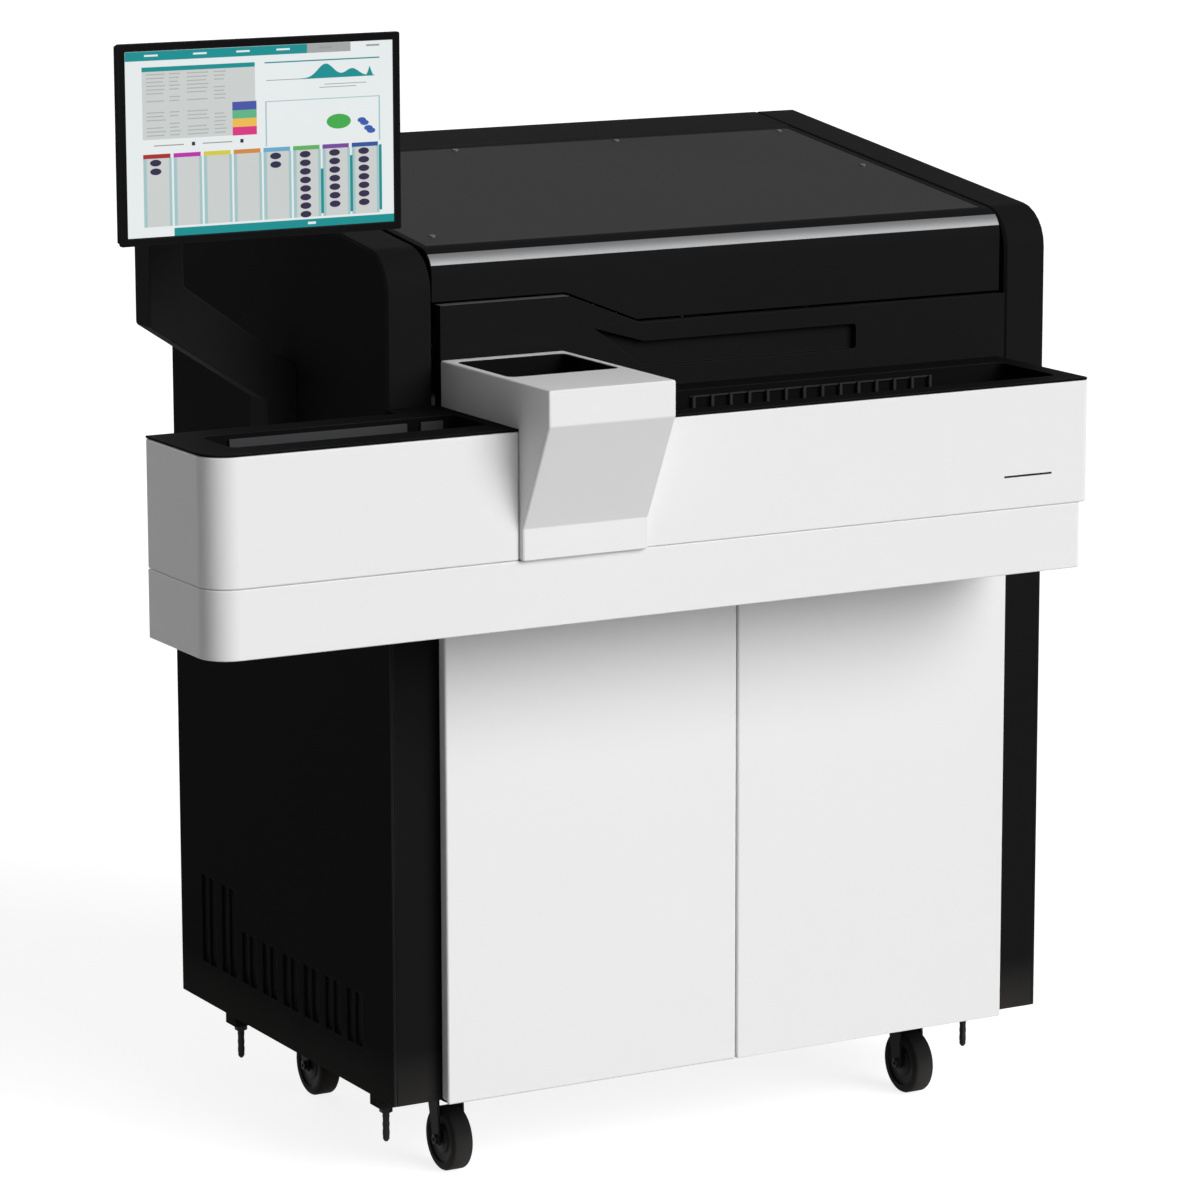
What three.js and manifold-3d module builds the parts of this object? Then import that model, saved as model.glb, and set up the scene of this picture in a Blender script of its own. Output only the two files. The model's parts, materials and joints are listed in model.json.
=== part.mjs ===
// Biochemistry analyser: a floor-standing cabinet on casters that carries a work deck under a lid,
// a long front belt for sample racks, a sample pod and a touch monitor on a side bracket.
// Millimetres. +X to the right, +Y to the back, +Z up. The origin is on the floor under the middle
// of the overall box. Inside the machine group, x starts at the belt's left end and y at its front.
import * as THREE from 'three';
import { mergeVertices } from 'three/addons/utils/BufferGeometryUtils.js';
import Module from 'manifold-3d';

const wasm = await Module();
wasm.setup();

// Clearances and drawing steps
const SEAT_GAP = 0.3;
const RUNNING_GAP = 0.3;
const OVERRUN = 4;
const ARC_STEPS = 6;
const SMALL_RADIUS = 12;
const SMALL_ARC_STEPS = 3;
const ROUND_SIDES = 24;
const WHEEL_SIDES = 20;
const PIN_SIDES = 12;
const CAP_SIDES = 8;

// Heights and the cabinet
const CASTER_HEIGHT = 100;
const DOOR_HEIGHT = 546;
const DOOR_TOP_GAP = 9;
const BODY_WIDTH = 833;
const BODY_DEPTH = 549;
const BODY_SETBACK = 29;
const SHEET = 4;
const CHASSIS_THICKNESS = 12;
const LEFT_POST_WIDTH = 56;
const RIGHT_POST_WIDTH = 60;
const POST_OVERLAP = 18;
const FRAME_DEPTH = 30;
const SILL_HEIGHT = 40;
const HEADER_OVERLAP = 8;

// Doors
const DOOR_THICKNESS = 19.7;
const LEFT_DOOR_WIDTH = 362;
const DOOR_SPLIT_GAP = 2;
const DOOR_SKIN = 3;
const DOOR_RIM = 18;
const DOOR_EDGE_RADIUS = 2.5;
const HINGE_INSET = 7.7;
const HINGE_PIN_RADIUS = 3.5;
const HINGE_PIN_LENGTH = 14;
const TONGUE_RADIUS = 7;
const TONGUE_THICKNESS = 3;

// Side louvres
const LOUVRE_WIDTH = 17;
const LOUVRE_BAR = 4;
const LOUVRE_PITCH = 54;
const LOUVRE_BASE = 48;
const LOUVRE_HEIGHT = 60;
const LOUVRE_FRONT_INSET = 76;
const LOUVRE_REAR_INSET = 40;
const TALL_LOUVRE_HEIGHT = 104;
const TALL_LOUVRE_PAIRS = 2;

// Back panel
const VENT_SLOT_HEIGHT = 6;
const VENT_SLOT_WIDTH = 180;
const VENT_SLOT_PITCH = 18;
const VENT_SLOT_COUNT = 9;
const VENT_SIDE_INSET = 90;
const VENT_TOP_INSET = 90;

// Belt
const BELT_WIDTH = 1060;
const BELT_DEPTH = 154;
const BELT_OVERHANG = 291;
const UPPER_BELT_HEIGHT = 135;
const LOWER_BELT_HEIGHT = 73;
const LOWER_BELT_SETBACK = 8;
const BELT_CORNER_RADIUS = 32;
const BELT_END_RADIUS = 6;
const BELT_WALL = 5;
const COVER_SEAM = 0.6;
const CARRIER_END_INSET = 12;

// Trays and the tube comb
const TRAY_RIM = 2.5;
const TRAY_DROP = 34;
const CHANNEL_DEPTH = 24;
const CHANNEL_RADIUS = 10;
const LEFT_CHANNEL_FRONT = 40;
const LEFT_CHANNEL_BACK = 36;
const RIGHT_CHANNEL_FRONT = 30;
const RIGHT_CHANNEL_BACK = 12;
const CHANNEL_END = 44;
const RIGHT_CHANNEL_END = 22;
const CHANNEL_POD_END = 14;
const RAIL_THICKNESS = 3;
const RAIL_START = 32;
const RAIL_POD_END = 14;
const RAIL_DROP = 5;
const RAIL_NOTCH = 16;
const RAIL_NOTCH_END = 26;
const RAIL_FOOT = 4;
const COMB_START = 138;
const COMB_END = 85;
const COMB_PITCH = 23.3;
const COMB_DROP = 7;
const COMB_HEIGHT = 13.4;
const COMB_BAR_WIDTH = 3.6;
const COMB_BAR_DEPTH = 3;
const COMB_STRIP = 1.6;
const COMB_STRIP_HEIGHT = 2;

// Sample pod
const POD_OFFSET = 350;
const POD_WIDTH = 151;
const POD_RISE = 51;
const POD_OVERHANG = 64;
const POD_NOSE_HEIGHT = 38;
const POD_LIP_PROUD = 6.5;
const POD_LIP_HEIGHT = 34;
const POD_BACK_GAP = 7;
const POD_EDGE = 1.5;
const WELL_SIDE_INSET = 12.5;
const WELL_LENGTH = 119;
const WELL_DEPTH = 46;
const WELL_BACK_INSET = 18;
const WELL_WALL = 2;
const WELL_RADIUS = 6;

// Upper body
const ARCH_WIDTH = 54;
const ARCH_NOSE_RADIUS = 46;
const ARCH_EDGE = 3;
const TOP_FRONT_RISE = 163.7;
const TOP_SLOPE_DEG = 7.07;
const HOOD_DEPTH = 80;
const HOOD_REAR_RADIUS = 4;

// Fascia below the lid
const FASCIA_THICKNESS = 14;
const FASCIA_GROOVE = 10;
const FASCIA_GAP = 3;
const STEP_LEFT_RISE = 111.5;
const STEP_RIGHT_RISE = 76.5;
const STEP_START = 165;
const STEP_RUN = 88;
const GRIP_START = 196;
const GRIP_TOP_START = 258;
const GRIP_WIDTH = 332;
const GRIP_SHOULDER_RISE = 71;
const GRIP_TOP_RISE = 53;
const GRIP_BOTTOM_RISE = 25;
const GRIP_DEPTH = 9;
const GRIP_RADIUS = 4;

// Lid
const LID_SETBACK = 7;
const LID_SIDE_GAP = 3.6;
const LID_NOSE_RADIUS = 28;
const LID_WALL = 5;
const LID_SKIRT = 24;
const LID_HINGE_RADIUS = 7;
const LID_PIN_RADIUS = 4;
const LID_PIN_LENGTH = 10;
const PANEL_THICKNESS = 2.4;
const PANEL_FRONT_INSET = 28;
const PANEL_REAR_INSET = 17;
const PANEL_SIDE_INSET = 8;
const TRIM_LOW_DEG = 20;
const TRIM_HIGH_DEG = 50;
const TRIM_THICKNESS = 1.6;
const TRIM_PROUD = 0.5;

// Work deck
const DECK_RISE = 9;
const DECK_SKIN = 12;
const DECK_WALL = 8;
const BOWL_WALL = 6;
const BOWL_DEPTH = 58;
const BOWL_GAP = 5;
const BOWL_SIDE_GAP = 5;
const BOWL_LANE = 76;
const BOWL_FLANGE = 8;
const BOWL_RIM = 2.5;
const REAGENT_BOWL_SHARE = 0.484;

// Turning units on the deck
const CAROUSEL_SINK = 30;
const BOTTLE_COUNT = 20;
const BOTTLE_LENGTH = 62;
const BOTTLE_EDGE = 8;
const BOTTLE_RISE = 52;
const BOTTLE_CAP_RADIUS = 9;
const BOTTLE_CAP_HEIGHT = 7;
const BOTTLE_SPACING = 4;
const CAROUSEL_DISC = 8;
const HUB_RADIUS = 22;
const HUB_RISE = 18;
const ROTOR_SINK = 26;
const ROTOR_RING_WIDTH = 30;
const ROTOR_DISC = 6;
const CUVETTE_COUNT = 40;
const CUVETTE_HEIGHT = 22;
const CUVETTE_DEPTH = 12;
const CUVETTE_GAP_SHARE = 0.34;
const SPINDLE_RADIUS = 8;
const SPINDLE_SHOULDER = 14;
const SPINDLE_LENGTH = 16;

// Swinging probes and the stirrer
const PROBE_BOSS_RADIUS = 16;
const PROBE_BOSS_HEIGHT = 16;
const PROBE_SHAFT_RADIUS = 7;
const PROBE_SHAFT_DEPTH = 52;
const PROBE_STROKE = 34;
const PROBE_ARM_RISE = 94;
const PROBE_ARM_WIDTH = 22;
const PROBE_ARM_HEIGHT = 20;
const PROBE_ARM_EDGE = 2;
const PROBE_CAP_RADIUS = 15;
const NEEDLE_RADIUS = 1.6;
const NEEDLE_DROP = 24;
const REAGENT_REACH = 120;
const REAGENT_REST_DEG = 90;
const SAMPLE_REACH = 110;
const SAMPLE_REST_DEG = 180;
const STIRRER_REACH = 92;
const STIRRER_OFFSET = 100;
const STIRRER_REST_DEG = -50;
const PADDLE_WIDTH = 5;

// Wash station and lamp
const WASH_WIDTH = 46;
const WASH_DEPTH = 30;
const WASH_HEIGHT = 56;
const WASH_HEAD_HEIGHT = 16;
const WASH_NOZZLE_RADIUS = 1.8;
const WASH_NOZZLE_DROP = 18;
const WASH_NOZZLE_INSET = 5.4;
const WASH_NOZZLE_COUNT = 4;
const LAMP_WIDTH = 56;
const LAMP_DEPTH = 64;
const LAMP_HEIGHT = 46;
const LAMP_CORNER_INSET = 6;
const LAMP_FIN_COUNT = 6;
const LAMP_FIN_DEPTH = 10;
const LAMP_FIN_SHARE = 0.5;

// Inside the cabinet
const TANK_WIDTH = 170;
const TANK_DEPTH = 240;
const TANK_HEIGHT = 250;
const TANK_CORNER = 24;
const TANK_EDGE = 8;
const TANK_NECK_RADIUS = 22;
const TANK_NECK_HEIGHT = 12;
const TANK_CAP_RADIUS = 28;
const TANK_CAP_HEIGHT = 20;
const TANK_SPACING = 26;
const TANK_FRONT_INSET = 24;
const HANDLE_WIDTH = 24;
const HANDLE_LENGTH = 90;
const HANDLE_RISE = 26;
const HANDLE_BAR = 10;
const BOX_TANK_GAP = 70;
const BOX_DEPTH = 330;
const BOX_HEIGHT = 360;
const BOX_REAR_GAP = 38;
const BOX_SIDE_GAP = 72;
const BOX_SLOT_COUNT = 8;
const BOX_SLOT_HEIGHT = 5;
const BOX_SLOT_PITCH = 16;
const BOX_SLOT_INSET = 32;
const BOX_SLOT_END = 16;
const BOX_SLOT_DEPTH = 6;

// Casters
const WHEEL_RADIUS = 36;
const WHEEL_WIDTH = 24;
const WHEEL_EDGE = 5;
const WHEEL_DISH = 3;
const WHEEL_HUB_RADIUS = 12;
const AXLE_RADIUS = 4;
const CASTER_TRAIL = 10;
const CASTER_PAD = 6;
const CASTER_PAD_SIZE = 56;
const CASTER_HEAD_RADIUS = 22;
const CASTER_HEAD = 9;
const FORK_CHEEK = 3;
const FORK_SIDE_GAP = 1.5;
const FORK_TOP_HALF = 13;
const FORK_FOOT_RADIUS = 7;
const KINGPIN_RADIUS = 6;
const KINGPIN_LENGTH = 15;
const CASTER_LEFT_INSET = 98;
const CASTER_RIGHT_INSET = 133;
const CASTER_FRONT_INSET = 70;
const CASTER_REAR_INSET = 149;

// Levelling studs
const STUD_RADIUS = 4;
const STUD_TIP_HEIGHT = 42;
const STUD_LENGTH = 112;
const STUD_LEFT_INSET = 22;
const STUD_RIGHT_INSET = 56;
const STUD_FRONT_INSET = 64;
const STUD_REAR_INSET = 112;
const BRACKET_SIZE = 26;
const BRACKET_DROP = 17;

// Monitor and its bracket
const BRACKET_FRONT = 217;
const BRACKET_DEPTH = 40;
const BRACKET_LEG_WIDTH = 38;
const BRACKET_LEG_DROP = 172;
const BRACKET_OFFSET = 133;
const BRACKET_LOWER_DROP = 14;
const BRACKET_UPPER_RISE = 75;
const BRACKET_RIGHT_RISE = 20;
const BRACKET_SHOULDER_RISE = 117;
const BRACKET_EDGE = 5;
const POST_WIDTH = 40;
const POST_RISE = 250;
const MONITOR_WIDTH = 318;
const MONITOR_HEIGHT = 205;
const MONITOR_RISE = 196.5;
const MONITOR_FRONT = 157;
const BEZEL_WIDTH = 8;
const BEZEL_DEPTH = 6;
const SCREEN_THICKNESS = 2;
const SCREEN_RECESS = 1;
const HOUSING_DEPTH = 9;
const HOUSING_INSET = 2;
const BULGE_WIDTH = 190;
const BULGE_HEIGHT = 120;
const BULGE_DEPTH = 12;
const ARM_HEIGHT = 30;
const ARM_THICKNESS = 18;
const ARM_PIVOT_RADIUS = 19;
const ARM_PIN_RADIUS = 8;
const ARM_PIN_LENGTH = 22;
const HEAD_RADIUS = 15;
const HEAD_NECK = 29;
const VESA_SIZE = 92;
const VESA_THICKNESS = 4;
const TILT_PIN_RADIUS = 5;
const TILT_LUG = 8;
const TILT_LUG_RADIUS = 12;
const TILT_CLEARANCE = 2;

// Power inlet and fluid ports at the back
const INLET_WIDTH = 50;
const INLET_HEIGHT = 30;
const INLET_FLANGE = 5;
const INLET_PROUD = 2;
const INLET_BODY_DEPTH = 26;
const INLET_SOCKET_WIDTH = 26;
const INLET_SOCKET_HEIGHT = 18;
const INLET_SOCKET_DEPTH = 16;
const INLET_SIDE_INSET = 90;
const INLET_RISE = 80;
const PORT_COUNT = 3;
const PORT_PITCH = 38;
const PORT_RADIUS = 8;
const PORT_LENGTH = 20;
const PORT_PLATE_HEIGHT = 40;
const PORT_PLATE_THICKNESS = 3;
const PORT_END = 22;

// Places worked out from the sizes
const bodyLeft = BELT_OVERHANG;
const bodyRight = bodyLeft + BODY_WIDTH;
const bodyFront = BELT_DEPTH + BODY_SETBACK;
const bodyRear = bodyFront + BODY_DEPTH;
const bodyBottom = CASTER_HEIGHT;
const doorTop = bodyBottom + DOOR_HEIGHT;
const beltBottom = doorTop + DOOR_TOP_GAP;
const beltSeam = beltBottom + LOWER_BELT_HEIGHT;
const beltTop = beltSeam + UPPER_BELT_HEIGHT;
const trayTop = beltTop + SEAT_GAP + TRAY_RIM;
const cabinetTop = beltSeam - SEAT_GAP;
const chassisTop = bodyBottom + CHASSIS_THICKNESS;
const innerLeft = bodyLeft + SHEET + SEAT_GAP;
const innerRight = bodyRight - SHEET - SEAT_GAP;
const innerRear = bodyRear - SHEET - SEAT_GAP;
const frameRear = bodyFront + FRAME_DEPTH;
const topSlope = Math.tan(THREE.MathUtils.degToRad(TOP_SLOPE_DEG));
const topFront = beltTop + TOP_FRONT_RISE;
const topAt = (y) => topFront + (y - bodyFront) * topSlope;
const deckLeft = bodyLeft + ARCH_WIDTH + SEAT_GAP;
const deckRight = bodyRight - ARCH_WIDTH - SEAT_GAP;
const hoodFront = bodyRear - HOOD_DEPTH;
const deckRear = hoodFront - SEAT_GAP;
const deckTop = beltTop + DECK_RISE;
const podLeft = POD_OFFSET;
const podRight = podLeft + POD_WIDTH;
const podTop = beltTop + POD_RISE;
const monitorX = bodyLeft - BRACKET_OFFSET - POST_WIDTH / 2;
const monitorBottom = beltTop + MONITOR_RISE;

// Materials
const paint = (color, roughness, metalness = 0) =>
  new THREE.MeshStandardMaterial({ color, roughness, metalness });
const white = paint(0xe9eaea, 0.42);
const black = paint(0x17181a, 0.55);
const softBlack = paint(0x202124, 0.62);
const panelGrey = paint(0x3a3b3e, 0.22);
const aluminium = paint(0xb9bcc0, 0.32, 0.9);
const steel = paint(0xa7aaad, 0.35, 0.9);
const rubber = paint(0x1b1b1c, 0.8);
const deckGrey = paint(0xc9ccce, 0.5);
const clearBlue = paint(0x9fc6d8, 0.25);
const bottleWhite = paint(0xdfe3e2, 0.5);
const tankWhite = paint(0xd9ddd8, 0.55);
const screenBlue = paint(0x8fc9cc, 0.15);
const guide = paint(0xa9adb0, 0.45);

// A closed mesh as a solid that can be joined and cut
function solid(geometry) {
  const bare = geometry.clone();
  bare.deleteAttribute('normal');
  bare.deleteAttribute('uv');
  const merged = mergeVertices(bare);
  return new wasm.Manifold(new wasm.Mesh({
    numProp: 3,
    vertProperties: Float32Array.from(merged.attributes.position.array),
    triVerts: Uint32Array.from(merged.index.array),
  }));
}

// A solid back as a drawable geometry
function surface(body) {
  const mesh = body.getMesh();
  const places = Float32Array.from(mesh.vertProperties);
  const geometry = new THREE.BufferGeometry();
  geometry.setAttribute('position', new THREE.BufferAttribute(places, mesh.numProp));
  geometry.setIndex(new THREE.BufferAttribute(Uint32Array.from(mesh.triVerts), 1));
  geometry.computeVertexNormals();
  return geometry;
}

// Outline through corners [u, v, radius], each round corner drawn as an arc
function outline(corners) {
  const points = [];
  corners.forEach(([u, v, radius = 0], index) => {
    const here = new THREE.Vector2(u, v);
    const last = corners[(index + corners.length - 1) % corners.length];
    const next = corners[(index + 1) % corners.length];
    if (radius <= 0) {
      points.push(here);
      return;
    }
    const toLast = new THREE.Vector2(last[0], last[1]).sub(here).normalize();
    const toNext = new THREE.Vector2(next[0], next[1]).sub(here).normalize();
    const half = Math.acos(THREE.MathUtils.clamp(toLast.dot(toNext), -1, 1)) / 2;
    const middle = toLast.clone().add(toNext).normalize();
    const centre = here.clone().addScaledVector(middle, radius / Math.sin(half));
    const start = toLast.clone().multiplyScalar(radius / Math.tan(half)).add(here).sub(centre);
    const side = Math.sign(toLast.cross(toNext));
    const sweep = -side * (Math.PI - 2 * half);
    const steps = radius > SMALL_RADIUS ? ARC_STEPS : SMALL_ARC_STEPS;
    for (let step = 0; step <= steps; step += 1) {
      points.push(start.clone().rotateAround(new THREE.Vector2(), (sweep * step) / steps).add(centre));
    }
  });
  return new THREE.Shape(points);
}

// A rectangle's corners with one radius
const rectangle = (u0, u1, v0, v1, radius = 0) =>
  [[u0, v0, radius], [u1, v0, radius], [u1, v1, radius], [u0, v1, radius]];

// The two ends of a span about its middle
const centred = (middle, size) => [middle - size / 2, middle + size / 2];

// Prisms along the three axes; an edge size above zero cuts both ends' rims by a chamfer
function extrude(shape, depth, edge) {
  const settings = { depth: depth - 2 * edge, bevelEnabled: edge > 0, steps: 1 };
  const bevel = { bevelThickness: edge, bevelSize: edge, bevelOffset: -edge, bevelSegments: 1 };
  const geometry = new THREE.ExtrudeGeometry(shape, { ...settings, ...bevel });
  return geometry.translate(0, 0, edge);
}

const axisX = new THREE.Vector3(1, 0, 0);
const axisY = new THREE.Vector3(0, 1, 0);
const axisZ = new THREE.Vector3(0, 0, 1);
const alongX = new THREE.Matrix4().makeBasis(axisY, axisZ, axisX);
const alongY = new THREE.Matrix4().makeBasis(axisX, axisZ, axisY.clone().negate());

const prismX = (corners, x0, x1, edge = 0) =>
  solid(extrude(outline(corners), x1 - x0, edge).applyMatrix4(alongX).translate(x0, 0, 0));
const prismY = (corners, y0, y1, edge = 0) =>
  solid(extrude(outline(corners), y1 - y0, edge).applyMatrix4(alongY).translate(0, y1, 0));
const prismZ = (corners, z0, z1, edge = 0) =>
  solid(extrude(outline(corners), z1 - z0, edge).translate(0, 0, z0));

const block = (x0, x1, y0, y1, z0, z1) => prismZ(rectangle(x0, x1, y0, y1), z0, z1);

// Round bars along the three axes, between two ends
const bar = (radius, length, sides) => new THREE.CylinderGeometry(radius, radius, length, sides);
const rodX = (radius, x0, x1, y, z, sides = PIN_SIDES) =>
  solid(bar(radius, x1 - x0, sides).rotateZ(Math.PI / 2).translate((x0 + x1) / 2, y, z));
const rodY = (radius, x, y0, y1, z, sides = PIN_SIDES) =>
  solid(bar(radius, y1 - y0, sides).translate(x, (y0 + y1) / 2, z));
const rodZ = (radius, x, y, z0, z1, sides = PIN_SIDES) =>
  solid(bar(radius, z1 - z0, sides).rotateX(Math.PI / 2).translate(x, y, (z0 + z1) / 2));

const joined = (solids) => solids.reduce((all, next) => all.add(next));

const machine = new THREE.Group();

// Adds one piece to a group
function piece(name, shape, material, group = machine) {
  const geometry = shape.isBufferGeometry ? shape : surface(shape);
  const mesh = new THREE.Mesh(geometry, material);
  mesh.name = name;
  group.add(mesh);
  return mesh;
}

// A group that stands at a pivot, so that its pieces are drawn from there
function pivotGroup(x, y, z, parent = machine) {
  const group = new THREE.Group();
  group.position.set(x, y, z);
  parent.add(group);
  return group;
}

// Places shared by the doors and the frame that carries them
const doorLeft = bodyLeft + LEFT_POST_WIDTH;
const doorRight = bodyRight - RIGHT_POST_WIDTH;
const doorBack = bodyFront - SEAT_GAP;
const hingeY = doorBack - HINGE_INSET;
const leftHingeX = doorLeft + HINGE_INSET;
const rightHingeX = doorRight - HINGE_INSET;

// Corner places of the casters and the levelling studs, named by side
const casterPlaces = [
  ['front_left', bodyLeft + CASTER_LEFT_INSET, bodyFront + CASTER_FRONT_INSET],
  ['front_right', bodyRight - CASTER_RIGHT_INSET, bodyFront + CASTER_FRONT_INSET],
  ['rear_left', bodyLeft + CASTER_LEFT_INSET, bodyRear - CASTER_REAR_INSET],
  ['rear_right', bodyRight - CASTER_RIGHT_INSET, bodyRear - CASTER_REAR_INSET],
];
const studPlaces = [
  ['front_left', bodyLeft + STUD_LEFT_INSET, bodyFront + STUD_FRONT_INSET],
  ['front_right', bodyRight - STUD_RIGHT_INSET, bodyFront + STUD_FRONT_INSET],
  ['rear_left', bodyLeft + STUD_LEFT_INSET, bodyRear - STUD_REAR_INSET],
  ['rear_right', bodyRight - STUD_RIGHT_INSET, bodyRear - STUD_REAR_INSET],
];

// Chassis plate: the floor of the cabinet with caster plates and stud brackets below
function buildChassis() {
  let body = block(innerLeft, innerRight, frameRear + SEAT_GAP, innerRear, bodyBottom, chassisTop);
  const padFace = bodyBottom - CASTER_PAD;
  const bore = KINGPIN_RADIUS + RUNNING_GAP;
  const cuts = [];
  for (const [, x, y] of casterPlaces) {
    const plan = [...centred(x, CASTER_PAD_SIZE), ...centred(y, CASTER_PAD_SIZE)];
    body = body.add(block(...plan, padFace, bodyBottom + SHEET));
    cuts.push(rodZ(bore, x, y, padFace - OVERRUN, padFace + KINGPIN_LENGTH + RUNNING_GAP));
  }
  const hole = STUD_RADIUS + RUNNING_GAP;
  const foot = bodyBottom - BRACKET_DROP;
  for (const [, x, y] of studPlaces) {
    const [left, right] = centred(x, BRACKET_SIZE);
    const plan = [Math.max(left, innerLeft), right, ...centred(y, BRACKET_SIZE)];
    body = body.add(block(...plan, foot, bodyBottom + SHEET));
    cuts.push(rodZ(hole, x, y, foot - OVERRUN, chassisTop + OVERRUN));
  }
  return body.subtract(joined(cuts));
}

// Front frame: posts, sill and header round the door opening, with a tongue and a pin for each hinge end
function buildFrontFrame() {
  const openLeft = doorLeft + POST_OVERLAP;
  const openRight = doorRight - POST_OVERLAP;
  const sill = bodyBottom + SILL_HEIGHT;
  const header = doorTop - HEADER_OVERLAP;
  const body = block(innerLeft, innerRight, bodyFront, frameRear, bodyBottom, cabinetTop);
  const opening = [openLeft, openRight, bodyFront - OVERRUN, frameRear + OVERRUN, sill, header];
  let frame = body.subtract(block(...opening));
  const tongue = (x, z0) => {
    const z1 = z0 + TONGUE_THICKNESS;
    const tab = block(x - TONGUE_RADIUS, x + TONGUE_RADIUS, hingeY, bodyFront + SHEET, z0, z1);
    return tab.add(rodZ(TONGUE_RADIUS, x, hingeY, z0, z1));
  };
  const low = bodyBottom;
  const high = doorTop - TONGUE_THICKNESS;
  for (const x of [leftHingeX, rightHingeX]) {
    const lowPin = rodZ(HINGE_PIN_RADIUS, x, hingeY, low, low + TONGUE_THICKNESS + HINGE_PIN_LENGTH);
    const highPin = rodZ(HINGE_PIN_RADIUS, x, hingeY, high - HINGE_PIN_LENGTH, doorTop);
    frame = joined([frame, tongue(x, low), tongue(x, high), lowPin, highPin]);
  }
  return frame;
}

// One door, drawn from its hinge axis on the floor of the body; side is +1 where it reaches to the right
function buildDoor(width, side) {
  const outer = -side * HINGE_INSET;
  const inner = outer + side * width;
  const rear = HINGE_INSET;
  const front = rear - DOOR_THICKNESS;
  const corners = [
    [outer, front, DOOR_EDGE_RADIUS], [inner, front, DOOR_EDGE_RADIUS],
    [inner, rear, 0], [outer, rear, HINGE_INSET],
  ];
  let door = prismZ(corners, 0, DOOR_HEIGHT);
  const pan = [outer + side * DOOR_RIM, inner - side * DOOR_RIM].sort((a, b) => a - b);
  door = door.subtract(block(...pan, front + DOOR_SKIN, rear + OVERRUN, DOOR_RIM, DOOR_HEIGHT - DOOR_RIM));
  const notch = TONGUE_RADIUS + RUNNING_GAP;
  const notchSpan = [outer - side * OVERRUN, side * notch].sort((a, b) => a - b);
  const notchHeight = TONGUE_THICKNESS + RUNNING_GAP;
  const boreDepth = notchHeight + HINGE_PIN_LENGTH;
  const bore = HINGE_PIN_RADIUS + RUNNING_GAP;
  return door.subtract(joined([
    block(...notchSpan, -notch, rear + OVERRUN, -OVERRUN, notchHeight),
    block(...notchSpan, -notch, rear + OVERRUN, DOOR_HEIGHT - notchHeight, DOOR_HEIGHT + OVERRUN),
    rodZ(bore, 0, 0, -OVERRUN, boreDepth),
    rodZ(bore, 0, 0, DOOR_HEIGHT - boreDepth, DOOR_HEIGHT + OVERRUN),
  ]));
}

// Side panel with a low row of upright louvres in pairs and two taller pairs behind them
function buildSidePanel(x0, x1) {
  const panel = block(x0, x1, bodyFront, bodyRear, bodyBottom, cabinetTop);
  const slots = [];
  const base = bodyBottom + LOUVRE_BASE;
  const room = BODY_DEPTH - LOUVRE_FRONT_INSET - LOUVRE_REAR_INSET;
  const pairs = Math.floor(room / LOUVRE_PITCH);
  for (let index = 0; index < pairs; index += 1) {
    const top = base + (index < pairs - TALL_LOUVRE_PAIRS ? LOUVRE_HEIGHT : TALL_LOUVRE_HEIGHT);
    const front = bodyFront + LOUVRE_FRONT_INSET + index * LOUVRE_PITCH;
    for (const y of [front, front + LOUVRE_WIDTH + LOUVRE_BAR]) {
      slots.push(block(x0 - OVERRUN, x1 + OVERRUN, y, y + LOUVRE_WIDTH, base, top));
    }
  }
  return panel.subtract(joined(slots));
}

// Back panel with two groups of vent slots and the cut-out of the power inlet
const inletX = bodyRight - INLET_SIDE_INSET;
const inletZ = bodyBottom + INLET_RISE;
function buildBackPanel() {
  const panel = block(innerLeft, innerRight, bodyRear - SHEET, bodyRear, bodyBottom, cabinetTop);
  const through = [bodyRear - SHEET - OVERRUN, bodyRear + OVERRUN];
  const cuts = [];
  for (const x of [innerLeft + VENT_SIDE_INSET, innerRight - VENT_SIDE_INSET - VENT_SLOT_WIDTH]) {
    for (let index = 0; index < VENT_SLOT_COUNT; index += 1) {
      const z = cabinetTop - VENT_TOP_INSET - index * VENT_SLOT_PITCH;
      cuts.push(block(x, x + VENT_SLOT_WIDTH, ...through, z, z + VENT_SLOT_HEIGHT));
    }
  }
  const flange = INLET_FLANGE - SEAT_GAP;
  const inletPlan = [...centred(inletX, INLET_WIDTH - 2 * flange), ...through];
  cuts.push(block(...inletPlan, ...centred(inletZ, INLET_HEIGHT - 2 * flange)));
  return panel.subtract(joined(cuts));
}

// Power inlet: a flanged block through the back panel with a blind socket
function buildInlet() {
  const face = bodyRear + SEAT_GAP;
  const mouth = face + INLET_PROUD;
  const coreSpan = centred(inletX, INLET_WIDTH - 2 * INLET_FLANGE);
  const coreRise = centred(inletZ, INLET_HEIGHT - 2 * INLET_FLANGE);
  const flange = block(...centred(inletX, INLET_WIDTH), face, mouth, ...centred(inletZ, INLET_HEIGHT));
  const core = block(...coreSpan, face - INLET_BODY_DEPTH, mouth, ...coreRise);
  const socketPlan = [...centred(inletX, INLET_SOCKET_WIDTH), mouth - INLET_SOCKET_DEPTH, mouth + OVERRUN];
  return flange.add(core).subtract(block(...socketPlan, ...centred(inletZ, INLET_SOCKET_HEIGHT)));
}

// Fluid ports: short hose tails on a plate at the back
function buildPorts() {
  const width = (PORT_COUNT - 1) * PORT_PITCH + 2 * PORT_END;
  const x0 = innerLeft + VENT_SIDE_INSET;
  const face = bodyRear + SEAT_GAP;
  const outer = face + PORT_PLATE_THICKNESS;
  let ports = block(x0, x0 + width, face, outer, ...centred(inletZ, PORT_PLATE_HEIGHT));
  for (let index = 0; index < PORT_COUNT; index += 1) {
    const x = x0 + PORT_END + index * PORT_PITCH;
    ports = ports.add(rodY(PORT_RADIUS, x, face, outer + PORT_LENGTH, inletZ));
  }
  return ports;
}

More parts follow.
